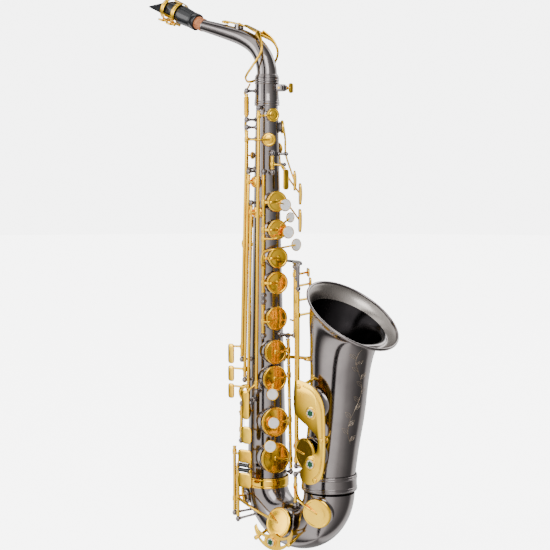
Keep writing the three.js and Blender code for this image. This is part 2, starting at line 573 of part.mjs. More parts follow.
const makeFrontFKey = () => shutKey('front_f', [452, 468], [
  arm([onHinge('front_f', 458), at(457, 14, 26), at(453, 3, 30)], ARM_R, 4),
  touch(at(440, 2, 30.4), outward(2), 9, 24),
]);

const makeGSharpKey = () => shutKey('g_sharp', [258, 292], [
  bodyCup('g_sharp'), arm([onHinge('g_sharp', 272), at(272, 45, 29.5), cupTop('g_sharp')], ARM_R, 4),
]);

// ---------------------------------------------------------------- low keys
const tableFacing = vec(0.7, 0.7, 0);
const tableTouch = (x, y, z, width, height) => touch(vec(x, y, z), tableFacing, width, height, 2);
const tableArm = (line, z, x, y) => arm([onHinge(line, z), vec(x, y, z)], 1.6, 2);

const makeGSharpLever = () => join(
  hingeTube('g_sharp_lever', 259, 334), tableArm('g_sharp_lever', 331, 35, 35),
  tableTouch(36, 34, 328, 22, 10),
  arm([onHinge('g_sharp_lever', 270), vec(38, 8, 271), at(272, -24, 29)], 1.4, 4),
);

const makeLowCSharpLever = () => join(
  hingeTube('low_c_sharp_lever', 104, 334), tableArm('low_c_sharp_lever', 315, 41, 33),
  tableTouch(39.5, 33.5, 315, 15, 14),
  arm([onHinge('low_c_sharp_lever', 106), vec(55, -3, 106), vec(63, -4, 106)], 1.4, 2),
);

const bellCup = (name) => {
  const { point, normal } = bellSeat(BELL_KEYS[name], TONE_RIM + GAP);
  return { disc: cup(point, normal, BELL_KEYS[name].radius, CUP_THICK, 14),
    top: point.clone().addScaledVector(normal, CUP_THICK - 0.6) };
};

function bellKey(name, tubeFrom, tubeTo, armZ, touchPiece, touchArm) {
  const { disc, top } = bellCup(name);
  const start = onHinge(name, armZ);
  const over = start.clone().lerp(top, 0.45).add(vec(0, -8.5, 0));
  const lid = join(disc, arm([start, over, top], 2, 6));
  return join(hingeTube(name, tubeFrom, tubeTo), turned(lid, start, vec(0, 0, 1), -7), touchPiece, touchArm);
}

const makeLowBKey = () => bellKey('low_b', 118, 322, 132, tableTouch(49, 32, 299, 15, 14),
  tableArm('low_b', 299, 50.5, 31));
const makeLowBFlatKey = () => bellKey('low_b_flat', 176, 310, 188, tableTouch(52, 29, 282, 15, 16),
  tableArm('low_b_flat', 282, 53.5, 28));

const bowCup = (name, sides) => {
  const { point, normal } = bowSeat(BOW_KEYS[name], TONE_RIM + GAP);
  return { disc: cup(point, normal, BOW_KEYS[name].radius, CUP_THICK, sides),
    top: point.clone().addScaledVector(normal, CUP_THICK - 0.6) };
};

function makeLowCSharpKey() {
  const { disc, top } = bowCup('low_c_sharp', 14);
  return join(hingeTube('low_c_sharp', 60, 90), disc, arm([
    onHinge('low_c_sharp', 80), vec(76, -36, 73), vec(91, -41, 65), top], 1.6, 8));
}

// Two pinky touches side by side on the lower right, each with a roller along the edge they share.
const TOUCH_Y = -43;
const ROLLERS = { e_flat_roller: 100.4, low_c_roller: 94.4 };
const rollerAxis = (x, name) => vec(x, TOUCH_Y, ROLLERS[name]);
const rollerEars = (name, side) => [[-9.8, -7.6], [9.6, 11.8]].map(([x0, x1]) => cut(
  join(bar(rollerAxis(x0, name), rollerAxis(x1, name), 2.2, 6),
    bar(rollerAxis((x0 + x1) / 2, name), rollerAxis((x0 + x1) / 2, name).add(vec(0, 1, 9 * side)), 1, 6)),
  bar(rollerAxis(x0 - 1, name), rollerAxis(x1 + 1, name), 1.1, 6)));
const makeRoller = (name) => join(bar(rollerAxis(-7.2, name), rollerAxis(9.2, name), 2.2, 10),
  bar(rollerAxis(-9.6, name), rollerAxis(11.6, name), 0.8, 6));

function makeLowEFlatKey() {
  const { disc, top } = bowCup('low_e_flat', 12);
  return join(hingeTube('low_e_flat', 42, 120), disc, arm([onHinge('low_e_flat', 56), vec(-25, -25, 56.5),
    top], 1.6, 6),
    touch(vec(1, TOUCH_Y + 1, 111), right, 21, 16), rollerEars('e_flat_roller', 1),
    arm([onHinge('low_e_flat', 113), vec(-14, -41, 113), vec(-6, -41.5, 113)], 1.6, 4));
}

function makeLowCKey() {
  const { disc, top } = bowCup('low_c', 14);
  const lid = join(disc, arm([onHinge('low_c', 58), vec(18, -42, 50), top], 1.7, 8));
  return join(hingeTube('low_c', 36, 97), turned(lid, onHinge('low_c', 50), vec(0, 0, 1), -4),
    touch(vec(1, TOUCH_Y + 1, 82), right, 21, 18), rollerEars('low_c_roller', -1),
    arm([onHinge('low_c', 84), vec(-6, -41, 84)], 1.6, 3));
}

// ---------------------------------------------------------------- guards, brace and hand pieces
// The bell key guard: one plate with a broad lobe at each end, two round bumper seats and feet on the bell.
const GUARD_EDGE = [
  [84, 203], [88, 212], [100, 211], [112, 206.5], [122, 197.5], [127.5, 186], [129.3, 168], [129.3, 128],
  [125.4, 106],
  [117, 96], [105, 92.5], [96, 96], [92.5, 104], [97, 113], [103, 124], [112, 128], [118, 134], [118, 149],
  [104, 160],
  [90, 169], [84, 178],
];
function makeBellKeyGuard() {
  const planeY = -50;
  const flat = new THREE.Matrix4().makeBasis(vec(1, 0, 0), vec(0, 0, 1), vec(0, -1, 0)).setPosition(0,
    planeY, 0);
  const band = plate(GUARD_EDGE, 1.6, flat);
  const bumpers = [[109, 176], [109, 117]].map(([x, z]) => bar(vec(x, planeY, z), vec(x, planeY - 2.4, z),
    7.5, 16));
  const foot = (x, z, towardX, towardZ) => bar(vec(x, planeY - 0.4, z), vec(towardX, -14, towardZ), 2.2, 6);
  const feet = [foot(124, 146, 114, 143), foot(91, 205, 98, 214), foot(115, 99, 106, 99.5)];
  return cut(join(band, bumpers, feet), bellClearance());
}

// The bell with a gap round it, to cut whatever stands on it.
function bellClearance() {
  const length = bellLine.getLength();
  const swollen = [[0, -6], [32.8, -6], [32.8, 10], [31.8, 40], [33.2, 80], [34.8, 120], [37.2, 147],
    [0, 147]];
  return bentTube(swollen.map(([r, h]) => [r ? r + GAP : 0, Math.max(0, Math.min(h, length))]), bellLine, 24);
}
const bodyClearance = () => lathe([[0, BODY_BOTTOM], [BODY_R_BOTTOM + GAP, BODY_BOTTOM],
  [BODY_R_TOP + GAP, BODY_TOP],
  [0, BODY_TOP]], 32);

// The low C guard: a crescent under its cup, on two feet that stand on the bow.
function makeLowCGuard() {
  const flat = new THREE.Matrix4().makeBasis(vec(1, 0, 0), vec(0, 0, 1), vec(0, -1, 0)).setPosition(0, -42,
    0);
  const outer = [];
  const inner = [];
  for (let turn = -172; turn <= -6; turn += 12) {
    const sag = 1 - Math.abs(turn + 90) / 90;
    outer.push([46 + 30 * Math.cos(rad(turn)), 33 + 28.5 * Math.sin(rad(turn))]);
    inner.push([47 + (28 - 5 * sag) * Math.cos(rad(turn)), 36 + (26 - 15 * sag) * Math.sin(rad(turn))]);
  }
  const crescent = plate([...outer, ...inner.reverse()], 1.6, flat);
  const feet = [[20, 16, 24, 26], [70, 15, 68, 24]].map(([x, z, towardX, towardZ]) =>
    bar(vec(x, -42.4, z), vec(towardX, -12, towardZ), 2, 6));
  return cut(join(crescent, feet), bowClearance());
}
function bowClearance() {
  const length = bowLine.getLength();
  const outer = Array.from({ length: 11 }, (_, i) => [bowRadius(i / 10) + GAP, (length * i) / 10]);
  return bentTube([[0, 0], ...outer, [0, length]], bowLine, 16);
}

// The brace between body and bell: two arms and a ring, with a foot on each tube.
function makeBellBrace() {
  const z = 226;
  const ring = solid(new THREE.TorusGeometry(9, 1.8, 5, 14)).translate([52, 22, z]);
  const bodyFoot = bar(at(z, -46, bodyR(z) - 2), at(z, -46, bodyR(z) + 3), 6, 12);
  const near = arm([at(z, -46, bodyR(z)), vec(32, 20, z), vec(43.5, 21.5, z)], 2.4, 4);
  const far = arm([vec(60.5, 21.5, z), vec(70, 18.5, z), vec(80, 13.6, z)], 2.4, 4);
  const bellFoot = bar(vec(84, 11.5, z), vec(76.6, 14.5, z), 6, 12);
  return cut(join(ring, bodyFoot, near, far, bellFoot), bellClearance(), bodyClearance());
}

function makeStrapRing() {
  const ring = solid(new THREE.TorusGeometry(6.5, 1.6, 5,
    14).rotateX(Math.PI / 2)).translate(STRAP_RING.toArray());
  const z = STRAP_RING.z;
  const backing = plate([[-14, -4], [14, -4], [14, 4], [-14, 4]], 6,
    frameAt(at(z, 180, bodyR(z) - 1.5), outward(180)));
  return cut(join(ring, backing, bar(at(z, 180, bodyR(z)), at(z, 180, 26.2), 2, 6)), bodyClearance());
}

function makeThumbHook() {
  const z = 186;
  const backing = plate([[-13, -6], [13, -6], [13, 6], [-13, 6]], 4,
    frameAt(at(z, 172, bodyR(z) - 1), outward(172)));
  const hook = arm([at(z, 172, bodyR(z)), at(z + 2, 172, 30), at(z - 1, 176, 38), at(z - 9, 181, 42),
    at(z - 17, 186, 40)], 2.6, 10, 8);
  return cut(join(backing, hook), bodyClearance());
}

const makeThumbRest = () => cut(bar(at(388, 188, bodyR(388) - 2), at(388, 188, bodyR(388) + 4.4), 9, 16),
  bodyClearance());

// A fixed plate that carries the upper ends of the long bell-key rods, on a post from the body.
function makeBellRodBracket() {
  const strip = plate([[9, 13], [33, 9], [43, -5], [60, -19], [66, -14], [50, 5], [36, 17], [13, 20]], 2.4,
    new THREE.Matrix4().makeTranslation(0, 0, 341));
  const hangers = [['g_sharp_lever', 337.5], ['low_c_sharp_lever', 337.5], ['low_b', 325.5],
    ['low_b_flat', 313.5]].flatMap(
    ([name, z]) => [ball(onHinge(name, z), BALL_R), bar(onHinge(name, z), onHinge(name, z).setZ(342), POST_R,
      6)]);
  return cut(join(strip, hangers), bodyClearance());
}

const pin = (name, extra) => bar(onHinge(name, HINGES[name].low.z - extra),
  onHinge(name, HINGES[name].high.z + extra), 1, 8);

function makeLockScrew() {
  return join(bar(vec(20.5, 17, 548), vec(20.5, -3, 548), 1.6, 6),
    touch(vec(20.5, 20, 548), vec(1, 0, 0), 7, 12, 2.4));
}

// ---------------------------------------------------------------- the assembly
const PIECES = [
  ['body_tube', NICKEL, makeBodyTube()],
  ['neck_receiver', NICKEL, makeReceiver()],
  ['bow', NICKEL, makeBow()],
  ['bell', NICKEL, makeBell()],
  ['body_bow_ring', GOLD, band(0, 70, 82, BOW_R_START + 1.4, 1)],
  ['bell_bow_ring', NICKEL, band(bellX, 78, 97, BELL_R_BASE + 1.3, 1)],
  ['bell_brace', GOLD, makeBellBrace()],
  ['bell_rod_bracket', NICKEL, makeBellRodBracket()],
  ['bell_key_guard', GOLD, makeBellKeyGuard()],
  ['low_c_guard', GOLD, makeLowCGuard()],
  ['strap_ring', GOLD, makeStrapRing()],
  ['thumb_hook', GOLD, makeThumbHook()],
  ['thumb_rest', GOLD, makeThumbRest()],
  ['upper_stack_pin', STEEL, pin('upper_stack', 5)],
  ['lower_stack_pin', STEEL, pin('lower_stack', 5)],
  ['neck', NICKEL, makeNeck()],
  ['neck_cork', CORK, makeCork()],
  ['neck_lock_screw', GOLD, makeLockScrew()],
  ['neck_octave_key', GOLD, makeNeckOctaveKey()],
  ['mouthpiece', EBONITE, makeMouthpiece()],
  ['reed', CANE, makeReed()],
  ['ligature', GOLD, makeLigature()],
  ['ligature_screw_front', GOLD, ligatureScrew(LIGATURE_SCREWS[1])],
  ['ligature_screw_back', GOLD, ligatureScrew(LIGATURE_SCREWS[0])],
  ['octave_lever', GOLD, makeOctaveLever()],
  ['octave_vent_key', GOLD, makeOctaveVentKey()],
  ['high_f_sharp_key', GOLD, makeHighFSharpKey()],
  ['high_e_key', GOLD, makeHighEKey()],
  ['side_c_key', GOLD, makeSideCKey()],
  ['side_b_flat_key', GOLD, makeSideBFlatKey()],
  ['trill_f_sharp_key', GOLD, makeTrillKey()],
  ['front_f_key', GOLD, makeFrontFKey()],
  ['palm_f_key', GOLD, palmKey('palm_f', [at(487, -48, 22), at(470, -48, 22.6), at(452, -46, 28)],
    at(438, -44, 33),
    outward(-44), 10, 24)],
  ['palm_d_key', GOLD, palmKey('palm_d', [at(466, -88, 22.5), at(457, -84, 23.2), at(438, -66, 31)],
    at(422, -48, 40),
    outward(-48), 11, 26)],
  ['palm_e_flat_key', GOLD, palmKey('palm_e_flat', [at(437, -120, 24), at(424, -112, 24), at(408, -80, 33)],
    at(390, -50, 40),
    outward(-50), 11, 28)],
  ['b_key', GOLD, stackKey('upper_stack', 'b', [398, 446], 413, [
    pearlHolder(409.8, -1.5, 27, 7.6, 22), arm([at(413, 17, 26.5), at(411, 4, 27.5)], ARM_R, 2)])],
  ['bis_key', GOLD, stackKey('upper_stack', 'bis', [376, 398], 380.7, [
    pearlHolder(394.6, -23.5, 28, 6.3, 10), arm([at(386, 12, 25), at(390.5, -4, 27.5), at(394, -20, 28.6)],
      ARM_R, 4)])],
  ['a_key', GOLD, stackKey('upper_stack', 'a', [342, 376], 347.2, [
    pearlHolder(377.8, 3.8, 34.2, 7.6, 22),
    arm([onHinge('upper_stack', 370), at(371, 34, 34), at(375, 6, 34.8)], ARM_R, 4)])],
  ['g_key', GOLD, stackKey('upper_stack', 'g', [306, 342], 317.6, [
    pearlHolder(361.8, -29.7, 34.6, 7.6, 10),
    arm([onHinge('upper_stack', 337), at(343, 60, 33.5), at(355, 56, 34), at(359, 30, 35.5),
      at(361.8, -22, 35.2)], ARM_R, 9)])],
  ['g_sharp_key', GOLD, makeGSharpKey()],
  ['g_sharp_lever', GOLD, makeGSharpLever()],
  ['f_sharp_key', GOLD, stackKey('lower_stack', 'f_sharp', [218, 250], 236, [])],
  ['f_key', GOLD, stackKey('lower_stack', 'f', [178, 218], 206, [
    pearlHolder(186.1, 39.6, 35, 7.3, 40), arm([at(198, 36, 30), at(189, 39, 35.4)], 2, 2)])],
  ['e_key', GOLD, stackKey('lower_stack', 'e', [134, 178], 152,
    [pearlHolder(151.6, 37.1, 34.5, 7.3, 38), stalk(151.6, 37.1, 34.5)])],
  ['d_key', GOLD, stackKey('lower_stack', 'd', [92, 134], 104, [
    pearlHolder(123.7, 43.9, 35.5, 7.6, 42), arm([at(113, 38, 31), at(121, 43, 35.8)], 2, 2)])],
  ['low_e_flat_key', GOLD, makeLowEFlatKey()],
  ['e_flat_roller', EBONITE, makeRoller('e_flat_roller')],
  ['low_c_key', GOLD, makeLowCKey()],
  ['low_c_roller', EBONITE, makeRoller('low_c_roller')],
  ['low_c_sharp_key', GOLD, makeLowCSharpKey()],
  ['low_c_sharp_lever', GOLD, makeLowCSharpLever()],
  ['low_b_key', GOLD, makeLowBKey()],
  ['low_b_flat_key', GOLD, makeLowBFlatKey()],
];

const saxophone = new THREE.Group();
saxophone.position.copy(STRAP_RING).negate();
for (const [name, material, shape] of PIECES) {
  const { vertProperties, triVerts } = shape.simplify(0.02).getMesh();
  const geometry = new THREE.BufferGeometry();
  geometry.setAttribute('position', new THREE.BufferAttribute(vertProperties, 3));
  geometry.setIndex(new THREE.BufferAttribute(triVerts, 1));
  geometry.computeVertexNormals();
  const mesh = new THREE.Mesh(geometry, material);
  mesh.name = name;
  saxophone.add(mesh);
}

const root = new THREE.Group();
root.add(saxophone);
export default root;
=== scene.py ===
import math

import bmesh
import bpy
from mathutils import Matrix, Vector
from mathutils.bvhtree import BVHTree


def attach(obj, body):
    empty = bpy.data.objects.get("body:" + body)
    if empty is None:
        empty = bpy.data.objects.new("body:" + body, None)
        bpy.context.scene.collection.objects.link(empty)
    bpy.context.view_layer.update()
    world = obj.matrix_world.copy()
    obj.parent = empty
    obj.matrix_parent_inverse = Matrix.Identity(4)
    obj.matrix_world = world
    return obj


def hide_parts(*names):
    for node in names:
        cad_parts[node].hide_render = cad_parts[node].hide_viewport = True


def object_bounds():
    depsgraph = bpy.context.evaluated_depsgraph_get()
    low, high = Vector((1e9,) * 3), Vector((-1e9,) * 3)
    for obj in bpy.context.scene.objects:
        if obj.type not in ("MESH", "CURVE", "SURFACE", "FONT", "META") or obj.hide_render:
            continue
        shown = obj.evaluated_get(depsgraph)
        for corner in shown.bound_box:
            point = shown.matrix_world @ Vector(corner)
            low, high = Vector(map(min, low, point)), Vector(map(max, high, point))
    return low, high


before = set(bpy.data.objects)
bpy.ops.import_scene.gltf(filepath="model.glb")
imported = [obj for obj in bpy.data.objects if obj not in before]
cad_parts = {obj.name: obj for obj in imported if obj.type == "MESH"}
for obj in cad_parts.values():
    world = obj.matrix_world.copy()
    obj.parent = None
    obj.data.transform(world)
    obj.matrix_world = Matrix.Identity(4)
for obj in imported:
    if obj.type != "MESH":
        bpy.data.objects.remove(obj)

CAD_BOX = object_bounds()
MM = 0.001


def vec(x, y, z):
    return Vector((x, y, z))


STRAP = vec(-32, 0, 361)
UP = vec(0, 0, 1)
RIGHT = vec(0, -1, 0)
FRONT = vec(1, 0, 0)

# ------------------------------------------------------------------ driving sizes, as in the design
GAP = 0.3
WALL = 1.0
BODY_TOP, BODY_BOTTOM = 536, 76
BODY_R_TOP, BODY_R_BOTTOM = 12.9, 23.9
BOW_PITCH, BOW_LEVEL = 47.9, 75.4
BOW_R_START, BOW_R_END = 24, 30.2
BELL_BASE, BELL_R_BASE, BELL_RIM_R = 90, 30.4, 60.7
BELL_X = 2 * BOW_PITCH
RECEIVER_TOP = 560
NECK_R_BASE, NECK_R_TIP = 12.2, 7.3
TONE_RIM, CUP_THICK, TUBE_R, POST_BALL_R, POST_REACH = 3, 3.4, 2, 3, 3.5
CUP_OVER_HOLE, CUP_OVER_BORE = 1.6, 2.2

# Tone holes on the body tube: [height, degrees from the front to the player's right, cup radius].
HOLES = {
    "b": (414, 17, 12.4), "bis": (380.7, 17, 12), "a": (347.2, 16, 12.4), "g": (317.6, 20, 13.4),
    "g_sharp": (274.8, 21, 14.3), "f_sharp": (235.3, 30, 14.5), "f": (203.5, 33, 15.5),
    "e": (151.5, 33, 17.6),
    "d": (108.1, 33, 18.5), "high_f_sharp": (516, 26, 8), "high_e": (487, 43, 8.2), "side_c": (437, 95, 6.8),
    "side_b_flat": (401, 83, 6.8), "palm_f": (502, -48, 8), "palm_d": (476, -90, 8),
    "palm_e_flat": (450, -133, 8.4), "trill": (160, 145, 8), "octave": (468, 165, 4.5),
}
BOW_KEYS = {"low_e_flat": (15, 28, 12), "low_c": (88, 106, 18.5), "low_c_sharp": (160, 71, 17.5)}
BELL_KEYS = {"low_b": (126, 97, 18.5), "low_b_flat": (183, 105, 19)}


# ------------------------------------------------------------------ places
def outward(degrees):
    """Away from the body tube; degrees run from the front to the player's right."""
    turn = math.radians(degrees)
    return vec(math.cos(turn), -math.sin(turn), 0)


def at(z, degrees, radius):
    return outward(degrees) * radius + UP * z


def body_r(z):
    return BODY_R_TOP + (BODY_TOP - z) * (BODY_R_BOTTOM - BODY_R_TOP) / (BODY_TOP - BODY_BOTTOM)


def line(z0, degrees, lift, z1):
    """A hinge line that follows the tube's taper, as (low end, high end)."""
    return at(z0, degrees, body_r(z0) + lift), at(z1, degrees, body_r(z1) + lift)


HINGES = {
    "upper_stack": line(306, 60, 8, 446), "g_sharp": line(258, 60, 8, 292),
    "lower_stack": line(92, -14, 8.5, 250),
    "high_f_sharp": line(192, 73, 11, 521), "side_b_flat": line(180, 98, 9, 409),
    "side_c": line(204, 110, 10, 446),
    "high_e": line(228, 121, 11.5, 498), "trill": line(130, 118, 11, 168),
    "octave_lever": (at(514, 125, 25), at(541, 125, 25)), "octave_vent": (at(456, 140, 24), at(484, 140, 24)),
    "front_f": line(452, 33, 7, 468), "low_e_flat": (vec(-22, -34.5, 42), vec(-22, -34.5, 120)),
    "low_c": (vec(-14, -37.5, 36), vec(-14, -37.5, 97)),
    "low_c_sharp": (vec(60, -19, 60), vec(60, -19, 90)),
    "g_sharp_lever": (vec(44, -1, 259), vec(44, -1, 334)),
    "low_c_sharp_lever": (vec(51, -7, 104), vec(51, -7, 334)),
    "low_b": (vec(56, -11.5, 118), vec(56, -11.5, 322)),
    "low_b_flat": (vec(61, -15.5, 176), vec(61, -15.5, 310)),
}


def on_hinge(name, z):
    low, high = HINGES[name]
    return low.lerp(high, (z - low.z) / (high.z - low.z))


def below(name):
    """Height of the post under a hinge."""
    return HINGES[name][0].z - POST_REACH


def above(name):
    """Height of the post over a hinge."""
    return HINGES[name][1].z + POST_REACH


def hinge_axis(name):
    low, high = HINGES[name]
    return (high - low).normalized()


def rim_height(name):
    return body_r(HOLES[name][0]) + TONE_RIM


def seat(name):
    z, degrees, _ = HOLES[name]
    return at(z, degrees, rim_height(name) + GAP)


def cup_top(name, extra=0):
    z, degrees, _ = HOLES[name]
    return at(z, degrees, rim_height(name) + GAP + CUP_THICK - 0.6 + extra)


def bow_point(turn):
    return vec(BOW_PITCH * (1 - math.cos(turn)), 0, BOW_LEVEL - BOW_PITCH * math.sin(turn))


def bow_seat(name, lift=TONE_RIM):
    """Point, normal and tube radius of a tone hole on the bow."""
    angle, degrees, _ = BOW_KEYS[name]
    centre = bow_point(math.radians(angle))
    out = (centre - vec(BOW_PITCH, 0, BOW_LEVEL)).normalized()
    normal = RIGHT * math.sin(math.radians(degrees)) + out * math.cos(math.radians(degrees))
    radius = BOW_R_START + (BOW_R_END - BOW_R_START) * angle / 180
    return centre + normal * (radius + lift), normal, radius


# ------------------------------------------------------------------ smooth curves
def spline(points, count):
    """Points along a smooth line through the given ones, evenly spread in each stretch."""
    ends = [points[0] * 2 - points[1], *points, points[-1] * 2 - points[-2]]
    per = max(1, round(count / (len(points) - 1)))
    result = []
    for i in range(len(points) - 1):
        a, b, c, d = ends[i:i + 4]
        for k in range(per):
            t = k / per
            result.append(0.5 * ((2 * b) + (c - a) * t + (2 * a - 5 * b + 4 * c - d) * t ** 2
                                 + (3 * b - a - 3 * c + d) * t ** 3))
    result.append(points[-1].copy())
    return result


def spread(points, count):
    """The same line with points at equal distances, and the length that it has."""
    steps = [0.0]
    for a, b in zip(points, points[1:]):
        steps.append(steps[-1] + (b - a).length)
    total, even, k = steps[-1], [], 0
    for i in range(count + 1):
        goal = total * i / count
        while k < len(points) - 2 and steps[k + 1] < goal:
            k += 1
        span = steps[k + 1] - steps[k] or 1
        even.append(points[k].lerp(points[k + 1], min(1, (goal - steps[k]) / span)))
    return even, total


BELL_POINTS = [vec(BELL_X + x, 0, z) for x, z in
               ((0, BELL_BASE), (0.2, 97), (4.6, 130), (11.2, 173), (15, 215), (17.6, 240), (21.8, 262),
                (26.6, 275.6), (34.7, 287))]
BELL_LINE, BELL_LENGTH = spread(spline(BELL_POINTS, 140), 96)
NECK_POINTS = [vec(x, 0, z) for x, z in
               ((0, RECEIVER_TOP + GAP), (-0.6, 571), (-6, 585.5), (-18, 598.5), (-38, 608.6), (-67, 616.9),
                (-100, 625.2))]
NECK_LINE, NECK_LENGTH = spread(spline(NECK_POINTS, 120), 60)
BOW_LINE, BOW_LENGTH = spread([bow_point(math.pi * i / 96) for i in range(97)], 64)


# ------------------------------------------------------------------ mesh tools
def circle(count):
    """Cosine and sine of equal turns, once round."""
    return [(math.cos(2 * math.pi * k / count), math.sin(2 * math.pi * k / count)) for k in range(count)]


class Shell:
    """Corners and faces of one piece, in the design's millimetres. finish numbers its materials."""

    def __init__(self):
        self.points = []
        self.faces = []
        self.finishes = []

    def add(self, part, finish=0):
        points, faces = part
        start = len(self.points)
        self.points += points
        self.faces += [[i + start for i in face] for face in faces]
        self.finishes += [finish] * len(faces)
        return self

    def add_all(self, parts):
        for part in parts:
            self.add(part)
        return self


def skin(loops, caps=True, around=False):
    """Faces between loops of equal count. caps closes the first and last loop, around joins them."""
    n = len(loops[0])
    count = len(loops)
    faces = []
    for i in range(count if around else count - 1):
        a = i * n
        b = (i + 1) % count * n
        faces += [(a + k, a + (k + 1) % n, b + (k + 1) % n, b + k) for k in range(n)]
    if caps and not around:
        faces.append(tuple(reversed(range(n))))
        faces.append(tuple(range((count - 1) * n, count * n)))
    return [p.copy() for loop in loops for p in loop], faces


def frame_at(origin, along, side=UP):
    """A matrix that carries +Z to a direction and +X as near as can be to a second one."""
    z = along.normalized()
    reference = FRONT if abs(side.dot(z)) > 0.99 else side
    y = z.cross(reference).normalized()
    x = y.cross(z)
    return Matrix.Translation(origin) @ Matrix((x, y, z)).transposed().to_4x4()


def moved(part, matrix):
    return [matrix @ p for p in part[0]], part[1]


def swung(part, pivot, axis, degrees):
    turn = (Matrix.Translation(pivot) @ Matrix.Rotation(math.radians(degrees), 4, axis)
            @ Matrix.Translation(-pivot))
    return moved(part, turn)


def eased(corners, radius, closed=False, steps=3):
    """An outline with its corners rounded off."""
    corners = [Vector(c) for c in corners]
    result = []
    for i, corner in enumerate(corners):
        if not closed and i in (0, len(corners) - 1):
            result.append(corner)
            continue
        before = corners[i - 1] - corner
        after = corners[(i + 1) % len(corners)] - corner
        cut = min(radius, before.length * 0.45, after.length * 0.45)
        start = corner + before.normalized() * cut
        end = corner + after.normalized() * cut
        for k in range(steps + 1):
            t = k / steps
            result.append(start * (1 - t) ** 2 + corner * 2 * t * (1 - t) + end * t ** 2)
    return result


def lathe(profile, matrix=None, sides=32, ease=0.25):
    """A solid of revolution about +Z from (radius, height) points, closed on the axis or on itself."""
    line = eased(profile, ease) if ease else [Vector(p) for p in profile]
    loops = [[vec(r * c, r * s, h) for c, s in circle(sides)] for r, h in line]
    closed = (line[0] - line[-1]).length < 1e-6
    part = skin(loops[:-1] if closed else loops, caps=False, around=closed)
    return moved(part, matrix) if matrix else part


def bar(start, end, radius, sides=20, tip=None, ease=0.25):
    length = (end - start).length
    far = radius if tip is None else tip
    return lathe(((0, 0), (radius, 0), (far, length), (0, length)), frame_at(start, end - start), sides, ease)


def ball(centre, radius, sides=20):
    arc = [(radius * math.sin(math.pi * k / 12), -radius * math.cos(math.pi * k / 12)) for k in range(13)]
    return lathe(arc, Matrix.Translation(centre), sides, 0)


def torus(matrix, radius, thick, sides=40, flat=1.0):
    """A ring about +Z; flat squeezes its section along Z."""
    loops = [[vec((radius + thick * c) * x, (radius + thick * c) * y, thick * flat * s)
              for c, s in circle(12)]
             for x, y in circle(sides)]
    return moved(skin(loops, around=True), matrix)


def sweep(points, width, height=None, steps=24, sides=14, side=UP, smooth=True):
    """A rod with round ends along a line. width and height are radii, or functions of the way from 0 to 1."""
    line, _ = spread(spline(points, 60) if smooth else points, steps)
    wide = width if callable(width) else lambda t: width
    high = wide if height is None else height if callable(height) else lambda t: height
    loops = []
    last = len(line) - 1
    for i, point in enumerate(line):
        tangent = (line[min(i + 1, last)] - line[max(i - 1, 0)]).normalized()
        across = tangent.cross(side)
        across = across.normalized() if across.length > 0.05 else tangent.orthogonal().normalized()
        up = across.cross(tangent)
        t = i / last
        ends = [(-0.8, 0.25), (-0.5, 0.75)] if i == 0 else [(0.5, 0.75), (0.8, 0.25)] if i == last else []
        places = [(0, 1)] if not ends else ends + [(0, 1)] if i == 0 else [(0, 1)] + ends
        for shift, share in places:
            middle = point + tangent * shift * min(wide(t), high(t))
            loops.append([middle + across * c * wide(t) * share + up * s * high(t) * share
                          for c, s in circle(sides)])
    return skin(loops)


def plate(outline, thickness, matrix, edge=0.35, crown=0.0):
    """A plate with eased edges on an outline of (x, y) points; crown domes a convex one."""
    flat = [vec(p[0], p[1], 0) for p in outline]
    n = len(flat)
    area = sum(flat[i].cross(flat[(i + 1) % n]).z for i in range(n))
    inward = []
    for i in range(n):
        a = (flat[i] - flat[i - 1]).normalized()
        b = (flat[(i + 1) % n] - flat[i]).normalized()
        bisector = (a + b).normalized() if (a + b).length > 1e-6 else a
        inward.append(vec(-bisector.y, bisector.x, 0) * (1 if area > 0 else -1))
    middle = sum(flat, Vector()) / n
    levels = [(edge, 0), (edge * 0.3, edge * 0.3), (0, edge), (0, thickness - edge),
              (edge * 0.3, thickness - edge * 0.3), (edge, thickness)]
    loops = [[p + inside * step + UP * z for p, inside in zip(flat, inward)] for step, z in levels]
    if crown:
        for share in (0.75, 0.5, 0.25, 0.08):
            rise = thickness + crown * (1 - share ** 2)
            loops.append([middle + (p - middle) * share + UP * rise for p in flat])
    return moved(skin(loops), matrix)


def strip(outer, inner, thickness, matrix, edge=0.3):
    """A flat band between two open lines of as many points, with its two ends closed."""
    loops = []
    for a, b in zip(outer, inner):
        a = vec(a[0], a[1], 0)
        b = vec(b[0], b[1], 0)
        across = (b - a).normalized() * edge
        loops.append([a + UP * edge, a + across, b - across, b + UP * edge, b + UP * (thickness - edge),
                      b - across + UP * thickness, a + across + UP * thickness, a + UP * (thickness - edge)])
    return moved(skin(loops), matrix)


def disc(radius, count=40):
    return [(radius * c, radius * s) for c, s in circle(count)]


def rounded(width, height, radius):
    """A rectangle with rounded corners, width along x."""
    w = width / 2
    h = height / 2
    return eased([(w, h), (-w, h), (-w, -h), (w, -h)], radius, closed=True, steps=6)


def bent(profile, curve, length, sides=72, around=False, caps=True):
    """A solid of revolution whose axis follows a line in the plane y = 0. profile is (radius, way along)."""
    last = len(curve) - 1
    loops = []
    for radius, way in profile:
        place = min(max(way / length, 0), 1) * last
        i = min(int(place), last - 1)
        point = curve[i].lerp(curve[i + 1], place - i)
        before = (curve[i + 1] - curve[max(i - 1, 0)]).normalized()
        after = (curve[min(i + 2, last)] - curve[i]).normalized()
        tangent = before.lerp(after, place - i).normalized()
        across = vec(0, 1, 0).cross(tangent).normalized()
        loops.append([point + across * radius * c + vec(0, 1, 0) * radius * s for c, s in circle(sides)])
    return skin(loops, caps=caps, around=around)


